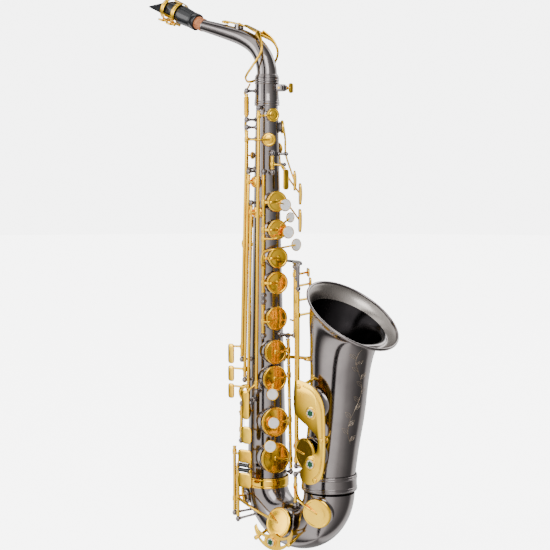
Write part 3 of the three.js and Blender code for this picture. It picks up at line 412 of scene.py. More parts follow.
def mesh_object(name, shell):
    """A Blender object with smooth faces from a shell, in metres about the strap ring."""
    data = bpy.data.meshes.new(name)
    data.from_pydata([(p - STRAP) * MM for p in shell.points], [], shell.faces)
    data.polygons.foreach_set("material_index", shell.finishes)
    work = bmesh.new()
    work.from_mesh(data)
    bmesh.ops.remove_doubles(work, verts=work.verts, dist=2e-6)
    bmesh.ops.dissolve_degenerate(work, edges=work.edges, dist=1e-6)
    bmesh.ops.recalc_face_normals(work, faces=work.faces)
    work.to_mesh(data)
    work.free()
    made = bpy.data.objects.new(name, data)
    bpy.context.scene.collection.objects.link(made)
    smooth(made)
    return made


def smooth(made, degrees=38):
    made.data.shade_smooth()
    made.data.set_sharp_from_angle(angle=math.radians(degrees))


def bored(made, cutter_shell):
    """Cuts a shell out of an object."""
    cutter = mesh_object("cutter", cutter_shell)
    change = made.modifiers.new("holes", "BOOLEAN")
    change.operation = "DIFFERENCE"
    change.solver = "EXACT"
    change.object = cutter
    bpy.context.view_layer.update()
    ready = made.evaluated_get(bpy.context.evaluated_depsgraph_get())
    data = bpy.data.meshes.new_from_object(ready)
    made.modifiers.clear()
    made.data = data
    bpy.data.objects.remove(cutter)
    smooth(made)


def piece(name, shell, materials, *nodes, body="instrument", slot=None):
    """Makes, paints and seats one piece, which stands in for the CAD nodes named. The slot argument is not
    used."""
    made = shell if isinstance(shell, bpy.types.Object) else mesh_object(name, shell)
    paints = materials if isinstance(materials, list) else [materials]
    for paint in paints:
        made.data.materials.append(paint)
    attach(made, body)
    if nodes:
        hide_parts(*nodes)


# ------------------------------------------------------------------ materials
def material(name):
    """A new node material with its shader, an object-space position in metres and helpers to link them."""
    made = bpy.data.materials.new(name)
    made.use_nodes = True
    tree = made.node_tree
    shader = tree.nodes["Principled BSDF"]
    place = tree.nodes.new("ShaderNodeTexCoord").outputs["Object"]
    return made, tree, shader, place


def put(tree, socket, value):
    """Sets a socket to a value, or links another socket to it."""
    if isinstance(value, bpy.types.NodeSocket):
        tree.links.new(value, socket)
    else:
        socket.default_value = value


def node(tree, kind, **inputs):
    """A new shader node; each input is named with _ for a space."""
    made = tree.nodes.new("ShaderNode" + kind)
    for name, value in inputs.items():
        put(tree, made.inputs[name.replace("_", " ")], value)
    return made


def noise(tree, place, scale, detail=4, stretch=(1, 1, 1)):
    mapping = node(tree, "Mapping", Scale=stretch, Vector=place)
    return node(tree, "TexNoise", Scale=scale, Detail=detail, Vector=mapping.outputs["Vector"]).outputs["Fac"]


def ramp(tree, value, stops):
    """A colour ramp; stops are (place, colour)."""
    made = node(tree, "ValToRGB", Fac=value)
    elements = made.color_ramp.elements
    for element, (place, colour) in zip(elements, (stops[0], stops[-1])):
        element.position = place
        element.color = (*colour, 1)
    for place, colour in stops[1:-1]:
        elements.new(place).color = (*colour, 1)
    return made.outputs["Color"]


def span(tree, value, low, high):
    """A value from 0.3..0.7 spread over low..high."""
    limits = {"From_Min": 0.3, "From_Max": 0.7, "To_Min": low, "To_Max": high}
    return node(tree, "MapRange", **limits, Value=value).outputs["Result"]


def relief(tree, shader, height, strength, depth):
    bump = node(tree, "Bump", Strength=strength, Distance=depth, Height=height)
    tree.links.new(bump.outputs["Normal"], shader.inputs["Normal"])


def metal(name, dark, light, rough, coat=0.0, patch=38, grain=900, wave=0.00004):
    """Plated or lacquered metal: a colour that drifts in patches, fine polishing marks and a faint wave."""
    made, tree, shader, place = material(name)
    drift = noise(tree, place, patch)
    tree.links.new(ramp(tree, drift, [(0.3, dark), (0.7, light)]), shader.inputs["Base Color"])
    marks = noise(tree, place, grain, 2, (1, 1, 0.15))
    tree.links.new(span(tree, marks, *rough), shader.inputs["Roughness"])
    relief(tree, shader, noise(tree, place, 55, 2), 0.25, wave)
    shader.inputs["Metallic"].default_value = 1
    shader.inputs["Coat Weight"].default_value = coat
    shader.inputs["Coat Roughness"].default_value = 0.05
    return made


def plain(name, stops, scale, rough, bump=(0.3, 0.0001), detail=5, stretch=(1, 1, 1), coat=0.0):
    """A non-metal with a mottled colour, its own roughness and a fine relief."""
    made, tree, shader, place = material(name)
    cloud = noise(tree, place, scale, detail, stretch)
    tree.links.new(ramp(tree, cloud, stops), shader.inputs["Base Color"])
    tree.links.new(span(tree, cloud, *rough), shader.inputs["Roughness"])
    relief(tree, shader, cloud, *bump)
    shader.inputs["Coat Weight"].default_value = coat
    return made


NICKEL = metal("black_nickel", (0.185, 0.165, 0.165), (0.235, 0.212, 0.208), (0.1, 0.17), coat=0.2)
SATIN = metal("satin_nickel", (0.30, 0.275, 0.255), (0.38, 0.35, 0.325), (0.26, 0.34), patch=30)
# Near-black metal for the bell's bore: painted shade, the dark that falls deep inside the bell, not a plating
# of its own.
BORE_SHADE = metal("painted_bore_shade", (0.012, 0.011, 0.012), (0.022, 0.02, 0.021), (0.14, 0.22))
GOLD = metal("gold_lacquer", (0.80, 0.43, 0.012), (0.93, 0.59, 0.04), (0.1, 0.17), coat=0.05)
ENGRAVED = metal("engraved_lines", (0.27, 0.21, 0.16), (0.36, 0.29, 0.22), (0.3, 0.4))
STEEL = metal("steel", (0.45, 0.45, 0.45), (0.6, 0.6, 0.59), (0.2, 0.32))
BLUED = metal("blued_steel", (0.07, 0.08, 0.12), (0.12, 0.13, 0.19), (0.25, 0.4))
EBONITE = plain("ebonite", [(0.3, (0.004, 0.005, 0.007)), (0.7, (0.009, 0.011, 0.014))], 260, (0.16, 0.26),
                (0.06, 0.00002))
CORK = plain("cork", [(0.32, (0.22, 0.06, 0.02)), (0.5, (0.42, 0.14, 0.05)), (0.68, (0.52, 0.21, 0.08))], 420,
             (0.6, 0.85), (0.6, 0.0003))
CANE = plain("cane", [(0.3, (0.62, 0.46, 0.22)), (0.7, (0.78, 0.62, 0.36))], 500, (0.4, 0.6), (0.3, 0.0001),
             stretch=(1, 1, 0.06))
PEARL = plain("mother_of_pearl",
              [(0.3, (0.72, 0.72, 0.69)), (0.5, (0.86, 0.85, 0.83)), (0.7, (0.80, 0.83, 0.86))],
              160, (0.12, 0.22), (0.1, 0.00003), coat=0.6)
FELT_GREEN = plain("green_felt", [(0.3, (0.002, 0.035, 0.012)), (0.7, (0.006, 0.085, 0.03))], 1600,
                   (0.85, 0.98),
                   (0.9, 0.0004))
FELT_WHITE = plain("white_felt", [(0.3, (0.62, 0.61, 0.58)), (0.7, (0.82, 0.81, 0.78))], 1500, (0.85, 0.98),
                   (0.8, 0.0003))
LEATHER = plain("pad_leather", [(0.3, (0.20, 0.10, 0.05)), (0.7, (0.34, 0.19, 0.10))], 700, (0.45, 0.65),
                (0.4, 0.0002))
FLOOR = plain("floor", [(0.3, (0.9, 0.9, 0.9)), (0.7, (0.93, 0.93, 0.92))], 9, (0.6, 0.75), (0.02, 0.0001))
FLOOR_GLOW = 5.5
FLOOR_SHADER = FLOOR.node_tree.nodes["Principled BSDF"].inputs
FLOOR_SHADER["Emission Color"].default_value = (1, 1, 1, 1)
FLOOR_SHADER["Emission Strength"].default_value = FLOOR_GLOW


# ------------------------------------------------------------------ the studio
VIEW_AZIMUTH = 40
VIEW_ELEVATION = 5
VIEW_DISTANCE = 2000
LENS = 109.1
SENSOR = 36
LOOK_AT = vec(0, 0, 325)
LOOK_ASIDE = 9.6
FLOOR_R = 6000
FLOOR_THICK = 8
SKY = 2.3
BACKDROP = 2.5
# What the metal mirrors, by degrees round from the camera's side: white cloths with dark gaps between.
SOFTBOXES = ((-180, 0.25), (-160, 0.25), (-150, 0.8), (-125, 0.8), (-115, 0.05), (-100, 0.05), (-90, 0.3),
             (-75, 0.85), (-60, 1), (-36, 1), (-34, 0.01), (-19, 0.01), (-17, 1), (8, 0.8), (28, 0.4),
             (60, 0.18),
             (85, 0.1), (105, 0.1), (120, 0.6), (150, 0.7), (165, 0.2), (180, 0.25))


def make_camera():
    azimuth = math.radians(VIEW_AZIMUTH)
    elevation = math.radians(VIEW_ELEVATION)
    back = vec(math.sin(azimuth) * math.cos(elevation), -math.cos(azimuth) * math.cos(elevation),
               math.sin(elevation))
    aside = vec(math.cos(azimuth), math.sin(azimuth), 0)
    data = bpy.data.cameras.new("camera")
    data.lens = LENS
    data.sensor_width = SENSOR
    data.clip_start = 0.05
    made = bpy.data.objects.new("camera", data)
    bpy.context.scene.collection.objects.link(made)
    made.location = (LOOK_AT + aside * LOOK_ASIDE + back * VIEW_DISTANCE - STRAP) * MM
    made.rotation_euler = back.to_track_quat("Z", "Y").to_euler()
    bpy.context.scene.camera = made


def make_light(name, place, size, power, target=(0.05, 0, 0)):
    data = bpy.data.lights.new(name, "AREA")
    data.shape = "RECTANGLE"
    data.size, data.size_y = size
    data.energy = power
    made = bpy.data.objects.new(name, data)
    bpy.context.scene.collection.objects.link(made)
    made.location = place
    made.rotation_euler = (Vector(place) - Vector(target)).to_track_quat("Z", "Y").to_euler()


def make_studio():
    lowest = CAD_BOX[0].z / MM + STRAP.z
    floor = Shell().add(plate(disc(FLOOR_R, 96), FLOOR_THICK,
                              Matrix.Translation(UP * (lowest - FLOOR_THICK - 0.2))))
    ground = mesh_object("floor", floor)
    ground.data.materials.append(FLOOR)
    ground.visible_glossy = False
    ground.visible_diffuse = False
    world = bpy.data.worlds.new("studio")
    bpy.context.scene.world = world
    world.use_nodes = True
    tree = world.node_tree
    sky = tree.nodes["Background"].inputs
    sky["Strength"].default_value = SKY
    place = tree.nodes.new("ShaderNodeTexCoord").outputs["Generated"]
    spun = node(tree, "VectorRotate", Angle=math.radians(90 - VIEW_AZIMUTH), Vector=place)
    spun.rotation_type = "Z_AXIS"
    parts = node(tree, "SeparateXYZ", Vector=spun.outputs["Vector"]).outputs
    bearing = node(tree, "Math")
    bearing.operation = "ARCTAN2"
    tree.links.new(parts["Y"], bearing.inputs[0])
    tree.links.new(parts["X"], bearing.inputs[1])
    whole = node(tree, "MapRange", From_Min=-math.pi, From_Max=math.pi, Value=bearing.outputs["Value"])
    stops = [(0.5 + degrees / 360, (grey, grey * 0.985, grey * 0.97)) for degrees, grey in SOFTBOXES]
    shade = ramp(tree, whole.outputs["Result"], stops)
    seen = tree.nodes.new("ShaderNodeLightPath").outputs["Is Camera Ray"]
    mix = tree.nodes.new("ShaderNodeMix")
    mix.data_type = "RGBA"
    tree.links.new(seen, mix.inputs["Factor"])
    tree.links.new(shade, mix.inputs[6])
    mix.inputs[7].default_value = (BACKDROP, BACKDROP, BACKDROP, 1)
    tree.links.new(mix.outputs[2], sky["Color"])
    make_light("key_light", (1.6, -1.3, 1.1), (1.0, 1.6), 28)
    make_light("fill_light", (-1.2, -1.8, 0.6), (0.9, 1.5), 16)
    make_light("rim_light", (0.2, 1.9, 1.2), (1.4, 1.0), 14)


make_camera()
make_studio()


# ------------------------------------------------------------------ tubes
def wall_height(tree, point, normal):
    """Where a tube's skin lies under a point that hovers over it."""
    hit = tree.ray_cast(point, -normal)[0]
    return point if hit is None else hit


def chimney(tree, rim, normal, radius, sides=48):
    """A drawn tone hole: it flows up out of the tube's skin to a rolled rim."""
    place = frame_at(rim, normal)
    inner = radius - 1.3
    loops = []
    for reach, share in ((radius + 1.9, -0.06), (radius + 1.5, 0.03), (radius + 0.9, 0.12),
                         (radius + 0.35, 0.3),
                         (radius, 0.55)):
        loop = []
        for c, s in circle(sides):
            top = place @ vec(reach * c, reach * s, 0)
            foot = wall_height(tree, top + normal * 4, normal)
            loop.append(foot.lerp(top, share) if share > 0 else foot + (foot - top).normalized() * 0.25)
        loops.append(loop)
    for reach, height in ((radius, -0.5), (radius - 0.05, -0.12), (radius - 0.3, 0), (inner + 0.3, 0),
                          (inner + 0.05, -0.12), (inner, -0.5), (inner, -7)):
        loops.append([place @ vec(reach * c, reach * s, height) for c, s in circle(sides)])
    return skin(loops, caps=False, around=True)


def post(end, foot, tree=None, axis=None):
    """A turned post with a flared foot and a ball, and the slotted head of a pivot screw in the ball."""
    way = (end - foot).normalized()
    if tree:
        foot = wall_height(tree, end, way)
    length = (end - foot).length
    line = [(0, -0.6), (3.1, -0.6), (3.1, 0.5), (2.5, 0.9), (1.6, 1.8), (1.35, length * 0.45),
            (1.6, length - 3.9),
            (2.2, length - 3.4), (2.2, length - 3.0), (1.7, length - 2.6), (0, length - 2.6)]
    parts = [lathe(line, frame_at(foot, way), 24), ball(end, POST_BALL_R)]
    if axis:
        parts += [bar(end + axis * 2.1 * side, end + axis * 3.15 * side, 1.9, 20) for side in (-1, 1)]
    return parts


class Tube:
    """A tube of the instrument: its skin, what is soldered on it and what is bored out of it."""

    def __init__(self, shell):
        self.skin = shell
        self.tree = BVHTree.FromPolygons(shell.points, shell.faces)
        self.fittings = Shell()
        self.cutters = Shell()

    def hole(self, start, rim, normal, radius):
        """A tone hole under a cup of this radius, bored from a point inside the tube."""
        self.cutters.add(bar(start, rim + normal * 6, radius - CUP_OVER_BORE, 48, ease=0))
        self.fittings.add(chimney(self.tree, rim, normal, radius - CUP_OVER_HOLE))

    def post(self, hinge, z, foot, on_skin=True):
        """A post for a hinge; its foot moves along it to the skin if on_skin."""
        tree = self.tree if on_skin else None
        self.fittings.add_all(post(on_hinge(hinge, z), foot, tree, hinge_axis(hinge)))

    def finish(self, node, fittings, paints):
        made = mesh_object(f"{node}_skin", self.skin)
        bored(made, self.cutters)
        piece(f"{node}_skin", made, paints, node)
        piece(fittings, self.fittings, NICKEL)


PALM_PIVOTS = {"palm_f": (470, -48, 22.6), "palm_d": (457, -84, 23.2), "palm_e_flat": (424, -112, 24)}
BODY_HINGES = ("upper_stack", "lower_stack", "g_sharp", "high_f_sharp", "side_b_flat", "side_c", "high_e",
               "trill",
               "front_f")


def make_body_tube():
    heights = [BODY_BOTTOM + (BODY_TOP - BODY_BOTTOM) * i / 120 for i in range(121)]
    ring = [2 * math.pi * k / 96 for k in range(96)]
    outer = [[at(z, math.degrees(a), body_r(z)) for a in ring] for z in heights]
    inner = [[at(z, math.degrees(a), body_r(z) - WALL) for a in ring] for z in reversed(heights)]
    tube = Tube(Shell().add(skin(outer + inner, around=True)))
    for name, (z, degrees, radius) in HOLES.items():
        tube.hole(at(z, degrees, 4), at(z, degrees, rim_height(name)), outward(degrees), radius)
    for hinge in BODY_HINGES:
        for z in (below(hinge), above(hinge)):
            end = on_hinge(hinge, z)
            tube.post(hinge, z, vec(end.x, end.y, 0).normalized() * body_r(z) + UP * z)
    for hinge, z, degrees in (("g_sharp_lever", below("g_sharp_lever"), 0),
                              ("octave_lever", below("octave_lever"), 150),
                              ("octave_vent", below("octave_vent"), 150),
                              ("octave_vent", above("octave_vent"), 150)):
        tube.post(hinge, z, at(z, degrees, body_r(z)), on_skin=False)
    for z, degrees, radius in PALM_PIVOTS.values():
        for side in (-1, 1):
            aside = outward(degrees + 90) * 6.2 * side
            end = at(z, degrees, radius) + aside
            foot = frame_at(wall_height(tube.tree, end, outward(degrees)), outward(degrees))
            tube.fittings.add(bar(at(z, degrees, body_r(z) * 0.8) + aside, end, 1.5))
            tube.fittings.add(lathe([(0, -1), (2.6, -1), (2.6, 0.6), (1.6, 1.5), (0, 1.5)], foot))
            tube.fittings.add(ball(end, 2.4))
    tube.finish("body_tube", "body_fittings", NICKEL)


LOCK_SCREW_LEVEL = 548


def make_receiver():
    bore = BODY_R_TOP + 0.75
    level = LOCK_SCREW_LEVEL
    line = [(bore, 527), (bore + 1.4, 527), (bore + 1.4, 528.4), (bore + 0.9, 529), (bore + 1.5, 530),
            (bore + 1.5, 531),
            (bore + 0.9, 532), (bore + 1.3, 533), (bore + 0.8, 534.5), (14.1, 540), (13.9, 541),
            (13.9, 552.6),
            (14.5, 553.2), (14.5, 554.4), (13.9, 555), (14.6, 556), (14.6, 557.4), (14.2, 558),
            (14.6, 558.6), (14.6, 560),
            (12.3, 560), (12.3, 537.2), (bore, 536.3), (bore, 527)]
    shell = Shell().add(lathe(line, None, 72, 0.2))
    for y in (1.2, 6.6):
        shell.add(plate(rounded(13, 8.6, 3.6), 3.8, frame_at(vec(18.6, y, level), RIGHT, FRONT)))
    shell.add_all(post(on_hinge("octave_lever", 544.5), at(544.5, 135, 13.4), None,
                       hinge_axis("octave_lever")))
    piece("neck_receiver_turned", shell, NICKEL, "neck_receiver")
    screw = Shell().add(bar(vec(20.5, 17, level), vec(20.5, -3.2, level), 1.6))
    screw.add(lathe([(0, 0), (3, 0), (3, 1), (2.2, 1.8), (0, 1.8)], frame_at(vec(20.5, 10.6, level), -RIGHT)))
    screw.add(plate(rounded(7, 12, 3.2), 2.4, frame_at(vec(19.3, 20, level), FRONT, RIGHT), 0.7, 0.5))
    piece("neck_lock_screw_turned", screw, GOLD, "neck_lock_screw", body="neck_lock_screw")


def tapered(start, end, length, steps):
    """Profile of a tube wall whose radius grows evenly: out along the skin, back along the bore."""
    outer = [(start + (end - start) * i / steps, length * i / steps) for i in range(steps + 1)]
    return outer + [(r - WALL, way) for r, way in reversed(outer)]


def make_bow():
    wall = bent(tapered(BOW_R_START, BOW_R_END, BOW_LENGTH, 72), BOW_LINE, BOW_LENGTH, 80, around=True)
    tube = Tube(Shell().add(wall))
    for name, (_, _, radius) in BOW_KEYS.items():
        rim, normal, _ = bow_seat(name)
        tube.hole(rim - normal * 16, rim, normal, radius)
    for hinge, foot in (("low_e_flat", vec(6, -18, 46)), ("low_c", vec(12, -18, 42)),
                        ("low_c_sharp", vec(72, -14, 57))):
        tube.post(hinge, below(hinge), foot)
    tube.finish("bow", "bow_fittings", NICKEL)


FLARE = ((0, 30.4), (40, 31.2), (80, 32.6), (120, 34.2), (145, 36.4), (166, 39.5), (181.5, 44.4), (193, 51),
         (BELL_LENGTH - 1.8, 59.6))
# Rows inside the rim that keep the satin finish before the painted shade of the bore begins.
SATIN_ROWS = 10
BELL_SIDES = 112
ROLL_R = 1.5


def flare_profile(inset, count=150):
    line, _ = spread(spline([vec(way, radius, 0) for way, radius in FLARE], 200), count)
    return [(p.y - inset, p.x) for p in line]


BELL_PROFILE = flare_profile(0)


BELL_SKIN_R = {"low_b": 31.6, "low_b_flat": 33.6}


def bell_seat(name, lift=TONE_RIM):
    z, degrees, _ = BELL_KEYS[name]
    normal = outward(degrees)
    axis = min(BELL_LINE, key=lambda p: abs(p.z - z))
    return axis + normal * (BELL_SKIN_R[name] + lift), normal


def make_bell():
    outer = flare_profile(0)
    inner = list(reversed(flare_profile(WALL)))
    rolled = [(BELL_RIM_R - ROLL_R + ROLL_R * math.cos(a), BELL_LENGTH - ROLL_R + ROLL_R * math.sin(a))
              for a in (math.radians(-100 + 290 * k / 16) for k in range(17))]
    shell = Shell().add(bent(outer + rolled + inner, BELL_LINE, BELL_LENGTH, BELL_SIDES, around=True))
    inner_row_start = len(outer) + len(rolled) + 1
    # Rows inside the bell: the first SATIN_ROWS past the rim take the satin finish, and all deeper rows take
    # the near-black bore metal, which is painted shade down the bore.
    for i in range(len(shell.faces)):
        row = i // BELL_SIDES
        if row >= inner_row_start:
            shell.finishes[i] = 1 if row < inner_row_start + SATIN_ROWS else 2
        elif row >= len(outer):
            shell.finishes[i] = 3
    tube = Tube(shell)
    for name, (_, _, radius) in BELL_KEYS.items():
        rim, normal = bell_seat(name)
        tube.hole(rim - normal * 18, rim, normal, radius)
    tube.post("low_c_sharp_lever", below("low_c_sharp_lever"), vec(68, -8, 100.5), on_skin=False)
    tube.post("low_c_sharp", above("low_c_sharp"), vec(72.5, -17, 102), on_skin=False)
    tube.post("low_b", below("low_b"), vec(72, -12, 114.5), on_skin=False)
    tube.post("low_b_flat", below("low_b_flat"), vec(80, -14, 172.5), on_skin=False)
    tube.finish("bell", "bell_fittings", [NICKEL, SATIN, BORE_SHADE, NICKEL])


def on_bell(way, degrees, lift=0.0):
    """A point on the bell's skin: way runs along it, degrees from its front to the player's right."""
    place = max(0.0, min(way / BELL_LENGTH, 0.9999)) * (len(BELL_LINE) - 1)
    i = int(place)
    centre = BELL_LINE[i].lerp(BELL_LINE[i + 1], place - i)
    tangent = (BELL_LINE[i + 1] - BELL_LINE[i]).normalized()
    turn = math.radians(degrees)
    radius = next(r for r, reach in BELL_PROFILE if reach >= way)
    return centre + (tangent.cross(RIGHT) * math.cos(turn) + RIGHT * math.sin(turn)) * (radius + lift)


def engraved(shell, way, degrees, strokes):
    """Shallow strokes on the bell; each is a list of (along, across) millimetres about a point."""
    radius = next(r for r, reach in BELL_PROFILE if reach >= way)
    for stroke in strokes:
        points = [on_bell(way + along, degrees + math.degrees(across / radius), -0.14)
                  for along, across in stroke]
        shell.add(sweep(points, 0.26, 0.26, 4 * len(stroke), 6))


def leaf(along, across, heading, length, width):
    """A pointed leaf with a vein, from its stalk."""
    turn = math.radians(heading)
    strokes = []
    for side in (-1, 0, 1):
        stroke = []
        for k in range(9):
            reach = length * k / 8
            aside = side * width * math.sin(math.pi * k / 8) ** 0.8
            stroke.append((along + reach * math.cos(turn) - aside * math.sin(turn),
                           across + reach * math.sin(turn) + aside * math.cos(turn)))
        strokes.append(stroke[:7] if side == 0 else stroke)
    return strokes


def make_engraving():
    """A winding stem with leaves in turn on either side, up the front of the bell."""
    shell = Shell()
    for middle, low, high, sway in ((14, 52, 168, 7), (-52, 60, 150, 5)):
        stem = [(way, sway * math.sin((way - low) / 13)) for way in range(low, high + 1, 4)]
        engraved(shell, 0.5 * (low + high), middle,
                 [[(way - 0.5 * (low + high), across) for way, across in stem]])
        for k, way in enumerate(range(low + 4, high - 6, 9)):
            across = sway * math.sin((way - low) / 13)
            side = 1 if k % 2 else -1
            bend = way - 0.5 * (low + high)
            engraved(shell, 0.5 * (low + high), middle, leaf(bend, across, side * 52, 10, 2.2))
    piece("bell_engraving", shell, ENGRAVED, slot="black_nickel")


def make_rings():
    base = BODY_R_BOTTOM + 1.5
    line = [(base, 70), (base + 1, 70), (base + 1, 71.4), (base + 0.6, 72), (base + 1.1, 73),
            (base + 1.1, 79),
            (base + 0.6, 80), (base + 1, 80.6), (base + 1, 82), (base, 82), (base, 70)]
    piece("body_bow_ferrule", Shell().add(lathe(line, None, 96)), GOLD, "body_bow_ring")
    base = BELL_R_BASE + 1.3
    line = [(base, 78), (base + 0.8, 78)]
    for z in (79.5, 82, 93, 95.5):
        line += [(base + 0.8, z - 0.7), (base + 1.3, z - 0.2), (base + 1.3, z + 0.6), (base + 0.8, z + 1)]
    line += [(base + 0.8, 97), (base, 97), (base, 78)]
    ring = lathe(line, Matrix.Translation((BELL_X, 0, 0)), 96, 0.2)
    piece("bell_bow_ferrule", Shell().add(ring), NICKEL, "bell_bow_ring")


def make_pins():
    for hinge in ("upper_stack", "lower_stack"):
        low, high = HINGES[hinge]
        way = hinge_axis(hinge)
        rod = Shell().add(bar(low - way * 5, high + way * 5, 1))
        piece(f"{hinge}_rod", rod, STEEL, f"{hinge}_pin")


make_body_tube()
make_receiver()
make_bow()
make_bell()
make_rings()
make_pins()


# ------------------------------------------------------------------ keys
def still(part):
    return part


def cup_line(radius):
    return [(0, 0.9), (radius - 1.3, 0.9), (radius - 1.3, 0), (radius - 0.3, 0), (radius, 0.4), (radius, 2.1),
            (radius - 0.9, 2.9), (radius - 2.1, 3.0), (radius - 2.7, 2.7), (radius * 0.5, 3.15), (0, 3.4)]


def pad_line(radius):
    edge = radius - 1.45
    return [(0, -0.15), (edge * 0.6, -0.2), (edge - 0.8, -0.2), (edge, 0.2), (edge, 0.8), (0, 0.8)]


def resonator_line(radius):
    edge = radius * 0.48
    return [(0, -0.75), (1.2, -0.7), (1.5, -0.35), (edge * 0.6, -0.5), (edge, -0.3), (edge, -0.1), (0, -0.1)]


def holder_line(size):
    return [(0, 0), (size * 0.6, 0), (size, 0.9), (size, 2.1), (size - 0.35, 2.4), (size - 0.8, 2.1),
            (size - 0.8, 1.4),
            (0, 1.4)]


def pearl_line(size):
    edge = size - 0.9
    return [(0, 1.45), (edge, 1.45), (edge, 2.25), (edge - 0.7, 2.7), (edge * 0.5, 2.5), (0, 2.4)]


class Key:
    """One key: its brazed metal, its pads and its pearls, which all ride on the body of the same name."""

    def __init__(self, node):
        self.node = node
        self.hinge = None
        self.metal = Shell()
        self.pads = Shell()
        self.pearls = Shell()

    def tube(self, hinge, low=None, high=None):
        """A hinge tube with a collar at each end; it fills the hinge unless its heights are given."""
        self.hinge = hinge
        start = on_hinge(hinge, HINGES[hinge][0].z if low is None else low)
        end = on_hinge(hinge, HINGES[hinge][1].z if high is None else high)
        way = hinge_axis(hinge)
        self.metal.add(bar(start, end, TUBE_R, 24, ease=0.3))
        for place in (start + way * 0.2, end - way * 1.6):
            self.metal.add(bar(place, place + way * 1.4, TUBE_R + 0.35, 24, ease=0.3))
        return self

    def saddle(self, z, length=6):
        """The thicker barrel where an arm is brazed on."""
        middle = on_hinge(self.hinge, z)
        way = hinge_axis(self.hinge) * (length / 2)
        self.metal.add(bar(middle - way, middle + way, TUBE_R + 0.7, 24, ease=0.6))
        return self

    def cup(self, point, normal, radius, lift=still):
        place = frame_at(point, normal)
        self.metal.add(lift(lathe(cup_line(radius), place, 60)))
        self.pads.add(lift(lathe(pad_line(radius), place, 60)))
        self.pads.add(lift(lathe(resonator_line(radius), place, 40, 0)), 1)
        return self

    def arm(self, points, wide=1.9, high=1.3, lift=still, side=None, steps=26):
        """A forged arm that is widest where it leaves the hinge."""
        reach = sweep(points, lambda t: wide * (1 - 0.32 * t), lambda t: high * (1 - 0.15 * t), steps, 14,
                      side or UP)
        self.metal.add(lift(reach))
        return self

    def branch(self, z, points, wide=1.9, high=1.3, lift=still, steps=26, barrel=6):
        """An arm from the hinge on a barrel of its own; barrel is the length of that, or 0 for none."""
        if barrel:
            self.saddle(z, barrel)
        return self.arm([on_hinge(self.hinge, z), *points], wide, high, lift, None, steps)

    def touch(self, centre, facing, width, height, thickness=1.8, crown=0.6, round_off=None, tilt=0):
        corner = round_off or min(width, height) * 0.42
        place = (frame_at(centre - facing * thickness / 2, facing)
                 @ Matrix.Rotation(math.radians(tilt), 4, "Z"))
        self.metal.add(plate(rounded(height, width, corner), thickness, place, 0.5, crown))
        return self

    def pearl(self, z, degrees, radius, size, facing):
        place = frame_at(at(z, degrees, radius), outward(facing))
        self.metal.add(lathe(holder_line(size), place, 48))
        self.pearls.add(lathe(pearl_line(size), place, 48))
        return self

    def finish(self):
        piece(f"{self.node}_brass", self.metal, GOLD, self.node, body=self.node)
        if self.pads.points:
            piece(f"{self.node}_pad", self.pads, [LEATHER, GOLD], body=self.node)
        if self.pearls.points:
            piece(f"{self.node}_pearl", self.pearls, PEARL, body=self.node, slot="pearl")


OPEN_TURN = {"upper_stack": -11, "lower_stack": 9}


def stack_key(hinge, hole, low, high, arm_z):
    """A key that stands open: its cup is made shut and then turned up off its rim."""
    z, degrees, radius = HOLES[hole]
    pivot = on_hinge(hinge, z)
    axis = hinge_axis(hinge)
    key = Key(f"{hole}_key")

    def lift(part):
        return swung(part, pivot, axis, OPEN_TURN[hinge])

    start = on_hinge(hinge, arm_z)
    over = start.lerp(cup_top(hole), 0.42) + outward(degrees) * 5
    key.tube(hinge, low + GAP, high - GAP)
    key.saddle(arm_z, 7)
    key.cup(seat(hole), outward(degrees), radius, lift)
    key.arm([start, over, cup_top(hole, 0.5)], 2.0, 1.15, lift, side=outward(degrees))
    hub = [(0, 0), (3.2, 0), (3.2, 0.5), (2.2, 1.3), (0, 1.6)]
    key.metal.add(lift(lathe(hub, frame_at(cup_top(hole), outward(degrees)), 28)))
    return key


def body_cup(key, hole):
    return key.cup(seat(hole), outward(HOLES[hole][1]), HOLES[hole][2])


def shut_key(hinge, hole=None, node=None):
    key = Key(node or f"{hinge}_key").tube(hinge)
    return body_cup(key, hole) if hole else key


def side_touch(key, z, height):
    """A side key's touch, reached by a short arm below the hinge tubes."""
    level = z + height / 2 - 3
    return key.touch(vec(-29, -32.5, z), RIGHT, 9, height).branch(level, [vec(-27, -32, level)], 1.6, 1.4)


def make_upper_stack():
    stack_key("upper_stack", "b", 398, 446, 413).pearl(409.8, -1.5, 27, 7.6, 22).arm(
        [at(413, 17, 26.5), at(411, 4, 27.5)]).finish()
    stack_key("upper_stack", "bis", 376, 398, 380.7).pearl(394.6, -23.5, 28, 6.3, 10).arm(
        [at(386, 12, 26.4), at(390.5, -4, 28), at(394, -20, 28.6)], 1.5, 1.3).finish()
    stack_key("upper_stack", "a", 342, 376, 347.2).pearl(377.8, 3.8, 34.2, 7.6, 22).branch(
        370, [at(371, 34, 34), at(375, 6, 34.8)]).finish()
    stack_key("upper_stack", "g", 306, 342, 317.6).pearl(361.8, -29.7, 34.6, 7.6, 10).branch(
        337, [at(343, 60, 33.5), at(355, 56, 34), at(359, 30, 35.5), at(361.8, -22, 35.2)], steps=40).finish()


def make_lower_stack():
    stack_key("lower_stack", "f_sharp", 218, 250, 236).finish()
    stack_key("lower_stack", "f", 178, 218, 206).pearl(186.1, 39.6, 35, 7.3, 40).arm(
        [at(198, 36, 30), at(189, 39, 35.4)], 2.2).finish()
    key = stack_key("lower_stack", "e", 134, 178, 152).pearl(151.6, 37.1, 34.5, 7.3, 38)
    key.metal.add(bar(at(151.6, 37.1, 27.5), at(151.6, 37.1, 35.5), 2.4))
    key.finish()
    stack_key("lower_stack", "d", 92, 134, 104).pearl(123.7, 43.9, 35.5, 7.6, 42).arm(
        [at(113, 38, 31), at(121, 43, 35.8)], 2.2).finish()


